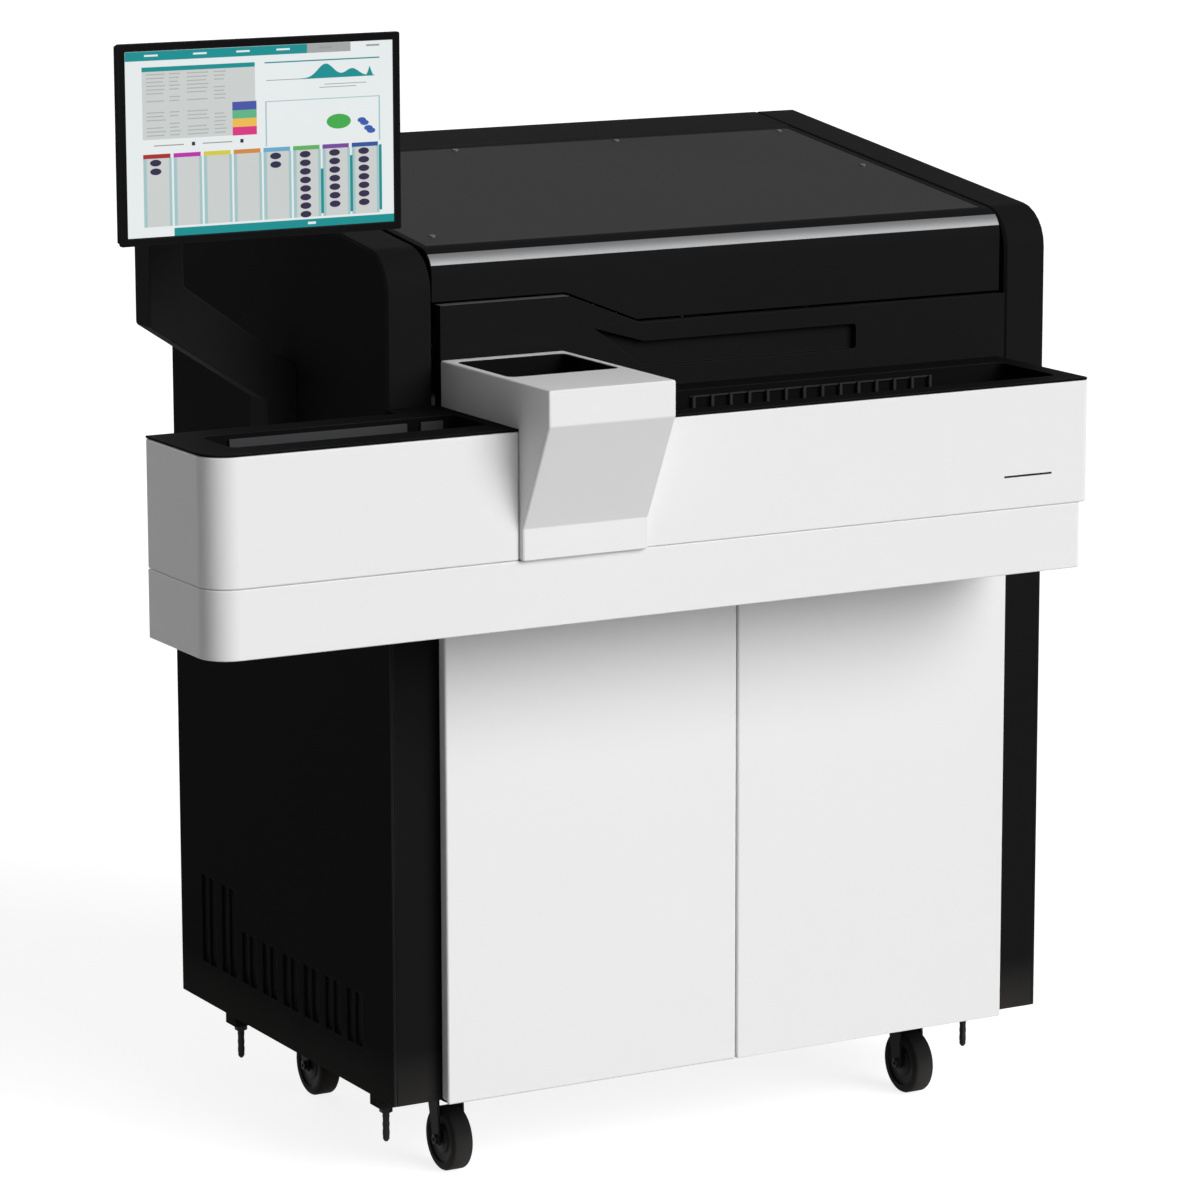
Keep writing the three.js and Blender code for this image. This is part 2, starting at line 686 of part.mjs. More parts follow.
// Side arches: cheeks that close the upper body, with a round nose and the sloping top
const lidHingeY = hoodFront - SEAT_GAP - LID_HINGE_RADIUS;
const lidHingeZ = topAt(lidHingeY) - LID_HINGE_RADIUS * Math.hypot(1, topSlope);
function buildArch(x0, x1) {
  const corners = [
    [bodyFront, beltSeam, 0], [bodyRear, beltSeam, 0],
    [bodyRear, topAt(bodyRear), HOOD_REAR_RADIUS], [bodyFront, topFront, ARCH_NOSE_RADIUS],
  ];
  const arch = prismX(corners, x0, x1, ARCH_EDGE);
  const inner = x0 < deckLeft ? x1 : x0;
  const reach = LID_PIN_LENGTH + RUNNING_GAP;
  const bore = LID_PIN_RADIUS + RUNNING_GAP;
  return arch.subtract(rodX(bore, inner - reach, inner + reach, lidHingeY, lidHingeZ));
}

// Rear hood: the fixed part of the top behind the lid
function buildHood() {
  const corners = [
    [hoodFront, beltSeam, 0], [bodyRear, beltSeam, 0],
    [bodyRear, topAt(bodyRear), HOOD_REAR_RADIUS], [hoodFront, topAt(hoodFront), 0],
  ];
  return prismX(corners, deckLeft, deckRight);
}

// Stepped line between the lid and the fascia, low on the right, high on the left
const stepLeftX = bodyLeft + ARCH_WIDTH + STEP_START;
const stepRightX = stepLeftX + STEP_RUN;
const stepLine = (x0, x1, drop) => [
  [x1, beltTop + STEP_RIGHT_RISE - drop, 0], [stepRightX, beltTop + STEP_RIGHT_RISE - drop, 0],
  [stepLeftX, beltTop + STEP_LEFT_RISE - drop, 0], [x0, beltTop + STEP_LEFT_RISE - drop, 0],
];

// Front fascia below the lid, with the finger recess for lifting it
function buildFascia() {
  const x0 = bodyLeft + ARCH_WIDTH + FASCIA_GROOVE;
  const x1 = deckRight;
  const y1 = bodyFront + FASCIA_THICKNESS;
  const fascia = prismY([[x0, beltTop, 0], [x1, beltTop, 0], ...stepLine(x0, x1, FASCIA_GAP)], bodyFront, y1);
  const edge = bodyLeft + ARCH_WIDTH;
  const recess = [
    [edge + GRIP_START, beltTop + GRIP_SHOULDER_RISE, 0],
    [edge + GRIP_TOP_START, beltTop + GRIP_BOTTOM_RISE, GRIP_RADIUS],
    [edge + GRIP_START + GRIP_WIDTH, beltTop + GRIP_BOTTOM_RISE, GRIP_RADIUS],
    [edge + GRIP_START + GRIP_WIDTH, beltTop + GRIP_TOP_RISE, GRIP_RADIUS],
    [edge + GRIP_TOP_START, beltTop + GRIP_TOP_RISE, 0],
  ];
  return fascia.subtract(prismY(recess, bodyFront - OVERRUN, bodyFront + GRIP_DEPTH));
}

// Two bowls share the deck's width beside a lane for the columns, and its depth in front of the wash station
const fasciaBack = bodyFront + FASCIA_THICKNESS + SEAT_GAP;
const washBack = deckRear - SEAT_GAP;
const bowlSide = DECK_WALL + BOWL_SIDE_GAP;
const bowlRoom = deckRight - deckLeft - 2 * bowlSide - BOWL_LANE;
const bowlDepthRoom = (washBack - WASH_DEPTH - fasciaBack) / 2 - BOWL_FLANGE - SEAT_GAP;
const bowlRadius = (share) => Math.min((bowlRoom * share) / 2, bowlDepthRoom);
const reagentBowlRadius = bowlRadius(REAGENT_BOWL_SHARE);
const reactionBowlRadius = bowlRadius(1 - REAGENT_BOWL_SHARE);
const carouselRadius = reagentBowlRadius - BOWL_WALL - BOWL_GAP;
const rotorRadius = reactionBowlRadius - BOWL_WALL - BOWL_GAP;
const carouselX = deckLeft + bowlSide + reagentBowlRadius;
const rotorX = deckRight - bowlSide - reactionBowlRadius;
const bowlY = (fasciaBack + washBack - WASH_DEPTH) / 2;
const bowlFloor = deckTop - BOWL_DEPTH;

// Centres of the swinging columns, each with its reach and its resting direction
const betweenX = (carouselX + carouselRadius + rotorX - rotorRadius) / 2;
const stirrerY = deckRear - DECK_WALL - 2 * PROBE_BOSS_RADIUS;
const probePlaces = [
  ['reagent_probe', betweenX, bowlY + carouselRadius / 2, REAGENT_REACH, REAGENT_REST_DEG],
  ['sample_probe', betweenX, bowlY - carouselRadius, SAMPLE_REACH, SAMPLE_REST_DEG],
  ['stirrer', rotorX - STIRRER_OFFSET, stirrerY, STIRRER_REACH, STIRRER_REST_DEG],
];

// Work deck: a moulded tray with a hole for each bowl and a boss for each swinging column
function buildDeck() {
  const corners = [
    [bodyFront, beltSeam, 0], [deckRear, beltSeam, 0], [deckRear, deckTop, 0],
    [fasciaBack, deckTop, 0], [fasciaBack, beltTop - SEAT_GAP, 0], [bodyFront, beltTop - SEAT_GAP, 0],
  ];
  let deck = prismX(corners, deckLeft, deckRight);
  deck = deck.subtract(block(
    deckLeft + DECK_WALL, deckRight - DECK_WALL,
    bodyFront + DECK_WALL + FASCIA_THICKNESS, deckRear - DECK_WALL,
    beltSeam - OVERRUN, deckTop - DECK_SKIN,
  ));
  for (const [x, radius] of [[carouselX, reagentBowlRadius], [rotorX, reactionBowlRadius]]) {
    const hole = [deckTop - DECK_SKIN - OVERRUN, deckTop + OVERRUN];
    deck = deck.subtract(rodZ(radius + SEAT_GAP, x, bowlY, ...hole, ROUND_SIDES));
  }
  const bore = PROBE_SHAFT_RADIUS + RUNNING_GAP;
  const foot = deckTop - PROBE_SHAFT_DEPTH - PROBE_STROKE - BOWL_WALL;
  const mouth = deckTop + PROBE_BOSS_HEIGHT;
  for (const [, x, y] of probePlaces) {
    deck = deck.add(rodZ(PROBE_BOSS_RADIUS, x, y, foot, mouth));
    deck = deck.subtract(rodZ(bore, x, y, foot + BOWL_WALL - RUNNING_GAP, mouth + OVERRUN));
  }
  return deck;
}

// Bowl: a cup that hangs by its flange in a hole of the deck, with the spindle of its turning unit
function buildBowl(x, radius, sink) {
  const flangeFoot = deckTop + SEAT_GAP;
  const rim = flangeFoot + BOWL_RIM;
  const seat = deckTop - sink - SEAT_GAP;
  const cup = rodZ(radius, x, bowlY, bowlFloor - BOWL_WALL, rim, ROUND_SIDES)
    .add(rodZ(radius + BOWL_FLANGE, x, bowlY, flangeFoot, rim, ROUND_SIDES))
    .subtract(rodZ(radius - BOWL_WALL, x, bowlY, bowlFloor, rim + OVERRUN, ROUND_SIDES));
  return joined([
    cup,
    rodZ(SPINDLE_SHOULDER, x, bowlY, bowlFloor - BOWL_WALL / 2, seat),
    rodZ(SPINDLE_RADIUS, x, bowlY, bowlFloor, seat + SPINDLE_LENGTH),
  ]);
}

// Belt outlines; the left end has the large front corner, the right end a small one
const beltPlan = (x0, x1, inset, frontLeft, frontRight) => [
  [x0 + inset, inset, frontLeft], [x1 - inset, inset, frontRight],
  [x1 - inset, BELT_DEPTH - inset, 0], [x0 + inset, BELT_DEPTH - inset, 0],
];
const innerCorner = BELT_CORNER_RADIUS - BELT_WALL;

function buildLowerBelt() {
  const x1 = BELT_WIDTH - LOWER_BELT_SETBACK;
  const outside = beltPlan(0, x1, 0, BELT_CORNER_RADIUS, BELT_END_RADIUS);
  const inside = beltPlan(0, x1, BELT_WALL, innerCorner, 0);
  return prismZ(outside, beltBottom, beltSeam - SEAT_GAP)
    .subtract(prismZ(inside, beltBottom + BELT_WALL, beltSeam + OVERRUN));
}

function buildUpperBelt(x0, x1, frontLeft, frontRight) {
  const shell = prismZ(beltPlan(x0, x1, 0, frontLeft, frontRight), beltSeam, beltTop);
  const inner = Math.max(frontLeft - BELT_WALL, 0);
  return shell.subtract(prismZ(beltPlan(x0, x1, BELT_WALL, inner, 0), beltSeam - OVERRUN, beltTop + OVERRUN));
}

// Tray: a rim over the belt's walls with a liner that holds the rack channel; it runs back to the body
function buildTray(x0, x1, backFrom, backTo, channel, frontLeft, frontRight) {
  const low = beltTop + SEAT_GAP;
  const high = trayTop;
  const back = bodyFront - SEAT_GAP;
  const inset = BELT_WALL + SEAT_GAP;
  const inner = Math.max(frontLeft - inset, 0);
  const rim = prismZ(beltPlan(x0, x1, 0, frontLeft, frontRight), low, high);
  const flange = block(backFrom, backTo, BELT_DEPTH - BELT_WALL, back, low, high);
  const liner = prismZ(beltPlan(x0, x1, inset, inner, 0), low - TRAY_DROP, low + TRAY_RIM / 2);
  const plan = rectangle(channel.x0, channel.x1, channel.y0, channel.y1, CHANNEL_RADIUS);
  return joined([rim, flange, liner]).subtract(prismZ(plan, high - CHANNEL_DEPTH, high + OVERRUN));
}
const leftChannel = {
  x0: CHANNEL_END, x1: podLeft - CHANNEL_POD_END, y0: LEFT_CHANNEL_FRONT, y1: BELT_DEPTH - LEFT_CHANNEL_BACK,
};
const rightChannel = {
  x0: podRight + CHANNEL_POD_END, x1: BELT_WIDTH - RIGHT_CHANNEL_END,
  y0: RIGHT_CHANNEL_FRONT, y1: BELT_DEPTH - RIGHT_CHANNEL_BACK,
};

// Rack rail: a strip that stands along the back wall of the left channel, with a notch near its right end
function buildRail() {
  const x0 = leftChannel.x0 + RAIL_START;
  const x1 = leftChannel.x1 - RAIL_POD_END;
  const back = leftChannel.y1 - SEAT_GAP;
  const foot = trayTop - CHANNEL_DEPTH + SEAT_GAP;
  const notchEnd = x1 - RAIL_NOTCH_END;
  const span = [notchEnd - RAIL_NOTCH, notchEnd, back - RAIL_THICKNESS - OVERRUN, back + OVERRUN];
  return block(x0, x1, back - RAIL_THICKNESS, back, foot, trayTop - RAIL_DROP)
    .subtract(block(...span, foot + RAIL_FOOT, trayTop));
}

// Tube comb: a strip along the back wall of the right channel with evenly spaced bars that hang from it
function buildComb() {
  const x0 = podRight + COMB_START;
  const count = Math.floor((rightChannel.x1 - COMB_END - x0) / COMB_PITCH) + 1;
  const back = rightChannel.y1 - SEAT_GAP;
  const face = back - COMB_STRIP;
  const top = trayTop - COMB_DROP;
  const last = x0 + (count - 1) * COMB_PITCH;
  const ends = [x0 - COMB_BAR_WIDTH, last + COMB_BAR_WIDTH];
  let comb = block(...ends, face, back, top - COMB_STRIP_HEIGHT, top);
  for (let x = x0; x < last + COMB_PITCH / 2; x += COMB_PITCH) {
    const bar = block(...centred(x, COMB_BAR_WIDTH), face - COMB_BAR_DEPTH, back, top - COMB_HEIGHT, top);
    comb = comb.add(bar);
  }
  return comb;
}

// Belt carrier: the beam between the belt and the body
function buildCarrier() {
  const left = bodyLeft + CARRIER_END_INSET;
  const right = BELT_WIDTH - CARRIER_END_INSET;
  return block(left, right, BELT_DEPTH + SEAT_GAP, bodyFront - SEAT_GAP, beltBottom, beltTop);
}

// Sample pod: a moulded head that leans out over the belt, with a square port on top
const wellX0 = podLeft + WELL_SIDE_INSET;
const wellX1 = podRight - WELL_SIDE_INSET;
const wellY1 = bodyFront - POD_BACK_GAP - WELL_BACK_INSET;
const wellPlan = (grow) => rectangle(
  wellX0 - grow, wellX1 + grow, wellY1 - WELL_LENGTH - grow, wellY1 + grow, WELL_RADIUS + grow,
);
function buildPod() {
  const x0 = podLeft + COVER_SEAM;
  const x1 = podRight - COVER_SEAM;
  const back = bodyFront - POD_BACK_GAP;
  const seat = beltTop + SEAT_GAP;
  const corners = [
    [-POD_LIP_PROUD, beltSeam, 0], [BELT_DEPTH, beltSeam, 0], [BELT_DEPTH, seat, 0], [back, seat, 0],
    [back, podTop, 0], [-POD_OVERHANG, podTop, 0], [-POD_OVERHANG, podTop - POD_NOSE_HEIGHT, 0],
    [-POD_LIP_PROUD, beltSeam + POD_LIP_HEIGHT, 0],
  ];
  const grow = WELL_WALL + SEAT_GAP;
  const hole = prismZ(wellPlan(grow), podTop - WELL_DEPTH - grow, podTop + OVERRUN);
  return prismX(corners, x0, x1, POD_EDGE).subtract(hole);
}

function buildWell() {
  const cup = prismZ(wellPlan(WELL_WALL), podTop - WELL_DEPTH - WELL_WALL, podTop);
  return cup.subtract(prismZ(wellPlan(0), podTop - WELL_DEPTH, podTop + OVERRUN));
}

// Lid, drawn in the machine's own coordinates and then moved to its hinge axis
const lidLeft = bodyLeft + ARCH_WIDTH + LID_SIDE_GAP;
const lidRight = bodyRight - ARCH_WIDTH - LID_SIDE_GAP;
const lidFront = bodyFront + LID_SETBACK;
const lidNoseReach = LID_NOSE_RADIUS / Math.tan((Math.PI / 2 + Math.atan(topSlope)) / 2);
const lidNoseY = lidFront + LID_NOSE_RADIUS;
const lidNoseZ = topAt(lidFront) - lidNoseReach;
const panelY0 = lidFront + PANEL_FRONT_INSET;
const panelY1 = hoodFront - PANEL_REAR_INSET;
const toLidHinge = (body) => body.translate([0, -lidHingeY, -lidHingeZ]);

function panelCorners(grow) {
  return [
    [panelY0 - grow, topAt(panelY0 - grow) - PANEL_THICKNESS - grow, 0],
    [panelY1 + grow, topAt(panelY1 + grow) - PANEL_THICKNESS - grow, 0],
    [panelY1 + grow, topAt(panelY1 + grow) + (grow > 0 ? OVERRUN : 0), 0],
    [panelY0 - grow, topAt(panelY0 - grow) + (grow > 0 ? OVERRUN : 0), 0],
  ];
}

// The trim is a narrow band on the nose's arc, between two angles and two radii
function trimCorners(lowDeg, highDeg, inner, outer) {
  const corners = [];
  for (let step = 0; step <= ARC_STEPS; step += 1) {
    const angle = THREE.MathUtils.degToRad(lowDeg + ((highDeg - lowDeg) * step) / ARC_STEPS);
    corners.push([lidNoseY - outer * Math.cos(angle), lidNoseZ + outer * Math.sin(angle), 0]);
  }
  for (let step = ARC_STEPS; step >= 0; step -= 1) {
    const angle = THREE.MathUtils.degToRad(lowDeg + ((highDeg - lowDeg) * step) / ARC_STEPS);
    corners.push([lidNoseY - inner * Math.cos(angle), lidNoseZ + inner * Math.sin(angle), 0]);
  }
  return corners;
}

function buildLidFrame() {
  const rear = lidHingeY;
  const skin = LID_WALL * Math.hypot(1, topSlope);
  const hingeTop = topAt(rear);
  const foot = beltTop + STEP_RIGHT_RISE;
  const outer = [
    [lidFront, foot, 0], [rear, foot, 0], [rear, hingeTop, 0], [lidFront, topAt(lidFront), LID_NOSE_RADIUS],
  ];
  const inner = [
    [lidFront + LID_WALL, foot - OVERRUN, 0], [rear - LID_WALL, foot - OVERRUN, 0],
    [rear - LID_WALL, topAt(rear - LID_WALL) - skin, 0],
    [lidFront + LID_WALL, topAt(lidFront + LID_WALL) - skin, LID_NOSE_RADIUS - LID_WALL],
  ];
  const skirtLine = [
    [lidFront + LID_WALL, foot - OVERRUN, 0], [bodyRear, foot - OVERRUN, 0],
    [bodyRear, topAt(bodyRear) - LID_SKIRT, 0],
    [lidFront + LID_WALL, topAt(lidFront + LID_WALL) - LID_NOSE_RADIUS, 0],
  ];
  let lid = prismX(outer, lidLeft, lidRight);
  lid = lid.subtract(prismX(inner, lidLeft + LID_WALL, lidRight - LID_WALL));
  lid = lid.subtract(prismX(skirtLine, lidLeft - OVERRUN, lidRight + OVERRUN));
  const below = [[lidLeft - OVERRUN, foot - OVERRUN, 0], [lidRight + OVERRUN, foot - OVERRUN, 0]];
  const raised = stepLine(lidLeft - OVERRUN, lidRight + OVERRUN, 0);
  lid = lid.subtract(prismY([...below, ...raised], lidFront - OVERRUN, lidFront + LID_WALL + OVERRUN));
  lid = lid.add(rodX(LID_HINGE_RADIUS, lidLeft, lidRight, lidHingeY, lidHingeZ, ROUND_SIDES));
  const pinOuter = LID_SIDE_GAP + LID_PIN_LENGTH;
  lid = lid.add(rodX(LID_PIN_RADIUS, lidLeft - pinOuter, lidRight + pinOuter, lidHingeY, lidHingeZ));
  lid = lid.subtract(prismX(panelCorners(SEAT_GAP), lidLeft + PANEL_SIDE_INSET, lidRight - PANEL_SIDE_INSET));
  const grooveFloor = LID_NOSE_RADIUS + TRIM_PROUD - TRIM_THICKNESS - SEAT_GAP;
  const groove = trimCorners(TRIM_LOW_DEG, TRIM_HIGH_DEG, grooveFloor, LID_NOSE_RADIUS + OVERRUN);
  return toLidHinge(lid.subtract(prismX(groove, lidLeft - OVERRUN, lidRight + OVERRUN)));
}

function buildLidPanel() {
  const inset = PANEL_SIDE_INSET + SEAT_GAP;
  return toLidHinge(prismX(panelCorners(0), lidLeft + inset, lidRight - inset));
}

function buildLidTrim() {
  const slack = THREE.MathUtils.radToDeg(SEAT_GAP / LID_NOSE_RADIUS);
  const outer = LID_NOSE_RADIUS + TRIM_PROUD;
  const corners = trimCorners(TRIM_LOW_DEG + slack, TRIM_HIGH_DEG - slack, outer - TRIM_THICKNESS, outer);
  return toLidHinge(prismX(corners, lidLeft, lidRight));
}

// Blind bore that turns on a bowl's spindle, above a unit's floor
const spindleBore = (floor) =>
  rodZ(SPINDLE_RADIUS + RUNNING_GAP, 0, 0, floor - OVERRUN, floor + SPINDLE_LENGTH + RUNNING_GAP);

// Reagent carousel: a disc with a ring of wedge bottles and a hub, turning on the bowl's spindle
function buildCarousel() {
  const floor = -CAROUSEL_SINK;
  const disc = rodZ(carouselRadius, 0, 0, floor, floor + CAROUSEL_DISC, ROUND_SIDES);
  let carousel = disc.add(rodZ(HUB_RADIUS, 0, 0, floor, floor + CAROUSEL_DISC + HUB_RISE, ROUND_SIDES));
  const step = (2 * Math.PI) / BOTTLE_COUNT;
  const outer = carouselRadius - BOTTLE_EDGE;
  const inner = outer - BOTTLE_LENGTH;
  const halfInner = inner * Math.tan(step / 2) - BOTTLE_SPACING / 2;
  const halfOuter = outer * Math.tan(step / 2) - BOTTLE_SPACING / 2;
  const wedge = [
    [inner, -halfInner, 0], [outer, -halfOuter, 0],
    [outer, halfOuter, 0], [inner, halfInner, 0],
  ];
  const shoulder = floor + CAROUSEL_DISC / 2 + BOTTLE_RISE;
  const capX = outer - BOTTLE_CAP_RADIUS - BOTTLE_SPACING;
  const capTop = shoulder + BOTTLE_CAP_HEIGHT;
  const cap = rodZ(BOTTLE_CAP_RADIUS, capX, 0, shoulder - BOTTLE_SPACING, capTop, CAP_SIDES);
  const bottle = prismZ(wedge, floor + CAROUSEL_DISC / 2, shoulder).add(cap);
  for (let index = 0; index < BOTTLE_COUNT; index += 1) {
    carousel = carousel.add(bottle.rotate([0, 0, (360 * index) / BOTTLE_COUNT]));
  }
  return carousel.subtract(spindleBore(floor));
}

// Reaction rotor: a disc whose rim carries a ring of cuvettes
function buildRotor() {
  const floor = -ROTOR_SINK;
  const inner = rotorRadius - ROTOR_RING_WIDTH;
  const web = rodZ(rotorRadius, 0, 0, floor, floor + ROTOR_DISC, ROUND_SIDES);
  let rotor = web.add(rodZ(HUB_RADIUS, 0, 0, floor, floor + ROTOR_DISC + HUB_RISE, ROUND_SIDES));
  const pitch = (2 * Math.PI * inner) / CUVETTE_COUNT;
  const half = (pitch * (1 - CUVETTE_GAP_SHARE)) / 2;
  const ring = centred(rotorRadius - ROTOR_RING_WIDTH / 2, CUVETTE_DEPTH);
  const cuvette = block(...ring, -half, half, floor + ROTOR_DISC / 2, floor + CUVETTE_HEIGHT);
  for (let index = 0; index < CUVETTE_COUNT; index += 1) {
    rotor = rotor.add(cuvette.rotate([0, 0, (360 * index) / CUVETTE_COUNT]));
  }
  return rotor.subtract(spindleBore(floor));
}

// Column that rises and falls in its deck boss; drawn from the deck's top
function buildShaft() {
  return rodZ(PROBE_SHAFT_RADIUS, 0, 0, -PROBE_SHAFT_DEPTH, PROBE_ARM_RISE);
}

// Arm that swings on the column, with a needle or a paddle at its tip, drawn along +X from the column
function buildArm(reach, paddle) {
  const half = PROBE_ARM_WIDTH / 2;
  const low = PROBE_ARM_RISE + SEAT_GAP;
  const high = low + PROBE_ARM_HEIGHT;
  const middle = (low + high) / 2;
  const tip = low - NEEDLE_DROP;
  const side = [
    [-half, low, 0], [reach, low, 0], [reach + half, middle, 0],
    [reach + half / 2, high, 0], [-half, high, 0],
  ];
  const beam = prismY(side, -half, half, PROBE_ARM_EDGE);
  const cap = rodZ(PROBE_CAP_RADIUS, 0, 0, low, high, ROUND_SIDES);
  const needle = rodZ(NEEDLE_RADIUS, reach, 0, tip, middle);
  const arm = joined([beam, cap, needle]);
  if (!paddle) {
    return arm;
  }
  const span = [...centred(reach, PADDLE_WIDTH), -NEEDLE_RADIUS, NEEDLE_RADIUS];
  return arm.add(block(...span, tip, tip + PADDLE_WIDTH));
}

// Wash station: a column behind the rotor whose head reaches over the cuvettes with a row of nozzles
function buildWashStation() {
  const span = centred(rotorX, WASH_WIDTH);
  const back = washBack;
  const foot = deckTop + SEAT_GAP;
  const top = foot + WASH_HEIGHT;
  const under = top - WASH_HEAD_HEIGHT;
  const tip = under - WASH_NOZZLE_DROP;
  const nozzleY = bowlY + rotorRadius - ROTOR_RING_WIDTH / 2;
  const front = nozzleY - WASH_NOZZLE_INSET;
  const column = block(...span, back - WASH_DEPTH, back, foot, top);
  let station = column.add(block(...span, front, back, under, top));
  for (let index = 0; index < WASH_NOZZLE_COUNT; index += 1) {
    const x = span[0] + (WASH_WIDTH * (index + 1)) / (WASH_NOZZLE_COUNT + 1);
    station = station.add(rodZ(WASH_NOZZLE_RADIUS, x, nozzleY, tip, top - SHEET, CAP_SIDES));
  }
  return station;
}

// Lamp housing: a finned box in the front right corner of the deck
function buildLamp() {
  const x1 = deckRight - LAMP_CORNER_INSET;
  const x0 = x1 - LAMP_WIDTH;
  const y0 = bodyFront + FASCIA_THICKNESS + LAMP_CORNER_INSET;
  const z0 = deckTop + SEAT_GAP;
  const top = z0 + LAMP_HEIGHT;
  const housing = block(x0, x1, y0, y0 + LAMP_DEPTH, z0, top);
  const pitch = LAMP_DEPTH / LAMP_FIN_COUNT;
  const cuts = [];
  for (let index = 0; index < LAMP_FIN_COUNT; index += 1) {
    const start = y0 + index * pitch + (pitch * LAMP_FIN_SHARE) / 2;
    const end = start + pitch * LAMP_FIN_SHARE;
    cuts.push(block(x0 - OVERRUN, x1 + OVERRUN, start, end, top - LAMP_FIN_DEPTH, top + OVERRUN));
  }
  return housing.subtract(joined(cuts));
}

// Tank with a rounded body, a bail handle and a screw cap, standing on the chassis
const waterTankX = doorLeft + POST_OVERLAP + TANK_SPACING;
const wasteTankX = waterTankX + TANK_WIDTH + TANK_SPACING;
function buildTank(x0) {
  const y0 = frameRear + TANK_FRONT_INSET;
  const z0 = chassisTop + SEAT_GAP;
  const shoulder = z0 + TANK_HEIGHT;
  const centre = x0 + TANK_WIDTH / 2;
  const neckY = y0 + TANK_DEPTH - TANK_CAP_RADIUS - TANK_CORNER / 2;
  const plan = rectangle(x0, x0 + TANK_WIDTH, y0, y0 + TANK_DEPTH, TANK_CORNER);
  const body = prismZ(plan, z0, shoulder, TANK_EDGE);
  const neckTop = shoulder + TANK_NECK_HEIGHT;
  const neck = rodZ(TANK_NECK_RADIUS, centre, neckY, shoulder - TANK_NECK_HEIGHT, neckTop);
  const cap = rodZ(TANK_CAP_RADIUS, centre, neckY, (shoulder + neckTop) / 2, shoulder + TANK_CAP_HEIGHT);
  const start = y0 + TANK_CORNER;
  const end = start + HANDLE_LENGTH;
  const crown = shoulder + HANDLE_RISE;
  const grip = [
    [start, shoulder - HANDLE_BAR, 0], [end, shoulder - HANDLE_BAR, 0],
    [end, crown, HANDLE_BAR], [start, crown, HANDLE_BAR],
  ];
  const hole = rectangle(start + HANDLE_BAR, end - HANDLE_BAR, shoulder, crown - HANDLE_BAR);
  const handle = prismX(grip, ...centred(centre, HANDLE_WIDTH))
    .subtract(prismX(hole, ...centred(centre, HANDLE_WIDTH + OVERRUN)));
  return joined([body, neck, cap, handle]);
}

// Electronics box with a vented front, standing on the chassis between the tanks and the right wall
function buildElectronics() {
  const x1 = innerRight - BOX_SIDE_GAP;
  const x0 = wasteTankX + TANK_WIDTH + BOX_TANK_GAP;
  const y1 = innerRear - BOX_REAR_GAP;
  const y0 = y1 - BOX_DEPTH;
  const z0 = chassisTop + SEAT_GAP;
  const z1 = z0 + BOX_HEIGHT;
  const cuts = [];
  for (let index = 0; index < BOX_SLOT_COUNT; index += 1) {
    const z = z1 - BOX_SLOT_INSET - index * BOX_SLOT_PITCH;
    const plan = [x0 + BOX_SLOT_END, x1 - BOX_SLOT_END, y0 - OVERRUN, y0 + BOX_SLOT_DEPTH];
    cuts.push(block(...plan, z, z + BOX_SLOT_HEIGHT));
  }
  return block(x0, x1, y0, y1, z0, z1).subtract(joined(cuts));
}

// Swivel fork: head, kingpin and two legs that trail back to the axle; drawn from the pad's face
function buildFork() {
  const axleZ = WHEEL_RADIUS - CASTER_HEIGHT + CASTER_PAD;
  const top = -SEAT_GAP;
  const inner = WHEEL_WIDTH / 2 + FORK_SIDE_GAP;
  const outer = inner + FORK_CHEEK;
  const trail = -CASTER_TRAIL;
  let fork = rodZ(CASTER_HEAD_RADIUS, 0, 0, top - CASTER_HEAD, top, ROUND_SIDES);
  fork = fork.add(rodZ(KINGPIN_RADIUS, 0, 0, top - CASTER_HEAD / 2, KINGPIN_LENGTH));
  const shoulder = top - CASTER_HEAD / 2;
  const foot = axleZ - FORK_FOOT_RADIUS;
  const leg = [
    [-FORK_TOP_HALF, shoulder, 0], [trail - FORK_FOOT_RADIUS, foot, FORK_FOOT_RADIUS / 2],
    [trail + FORK_FOOT_RADIUS, foot, FORK_FOOT_RADIUS / 2], [FORK_TOP_HALF, shoulder, 0],
  ];
  fork = fork.add(prismX(leg, -outer, -inner)).add(prismX(leg, inner, outer));
  return fork.add(rodX(AXLE_RADIUS, -outer, outer, trail, axleZ));
}

// Wheel: a tyre profile turned round the axle, with a dished side and a bore, standing on a flat of its tread
function buildWheel() {
  const half = WHEEL_WIDTH / 2;
  const bore = AXLE_RADIUS + RUNNING_GAP;
  const tread = WHEEL_RADIUS / Math.cos(Math.PI / WHEEL_SIDES);
  const rim = tread - 2 * WHEEL_EDGE;
  const dish = half - WHEEL_DISH;
  const profile = [
    [bore, -half], [WHEEL_HUB_RADIUS, -half], [WHEEL_HUB_RADIUS + WHEEL_DISH, -dish], [rim, -dish],
    [tread - WHEEL_EDGE, -half], [tread, WHEEL_EDGE - half], [tread, half - WHEEL_EDGE],
    [tread - WHEEL_EDGE, half], [rim, dish], [WHEEL_HUB_RADIUS + WHEEL_DISH, dish],
    [WHEEL_HUB_RADIUS, half], [bore, half], [bore, -half],
  ].map(([radius, along]) => new THREE.Vector2(radius, along));
  return new THREE.LatheGeometry(profile, WHEEL_SIDES, Math.PI / WHEEL_SIDES).rotateZ(-Math.PI / 2);
}

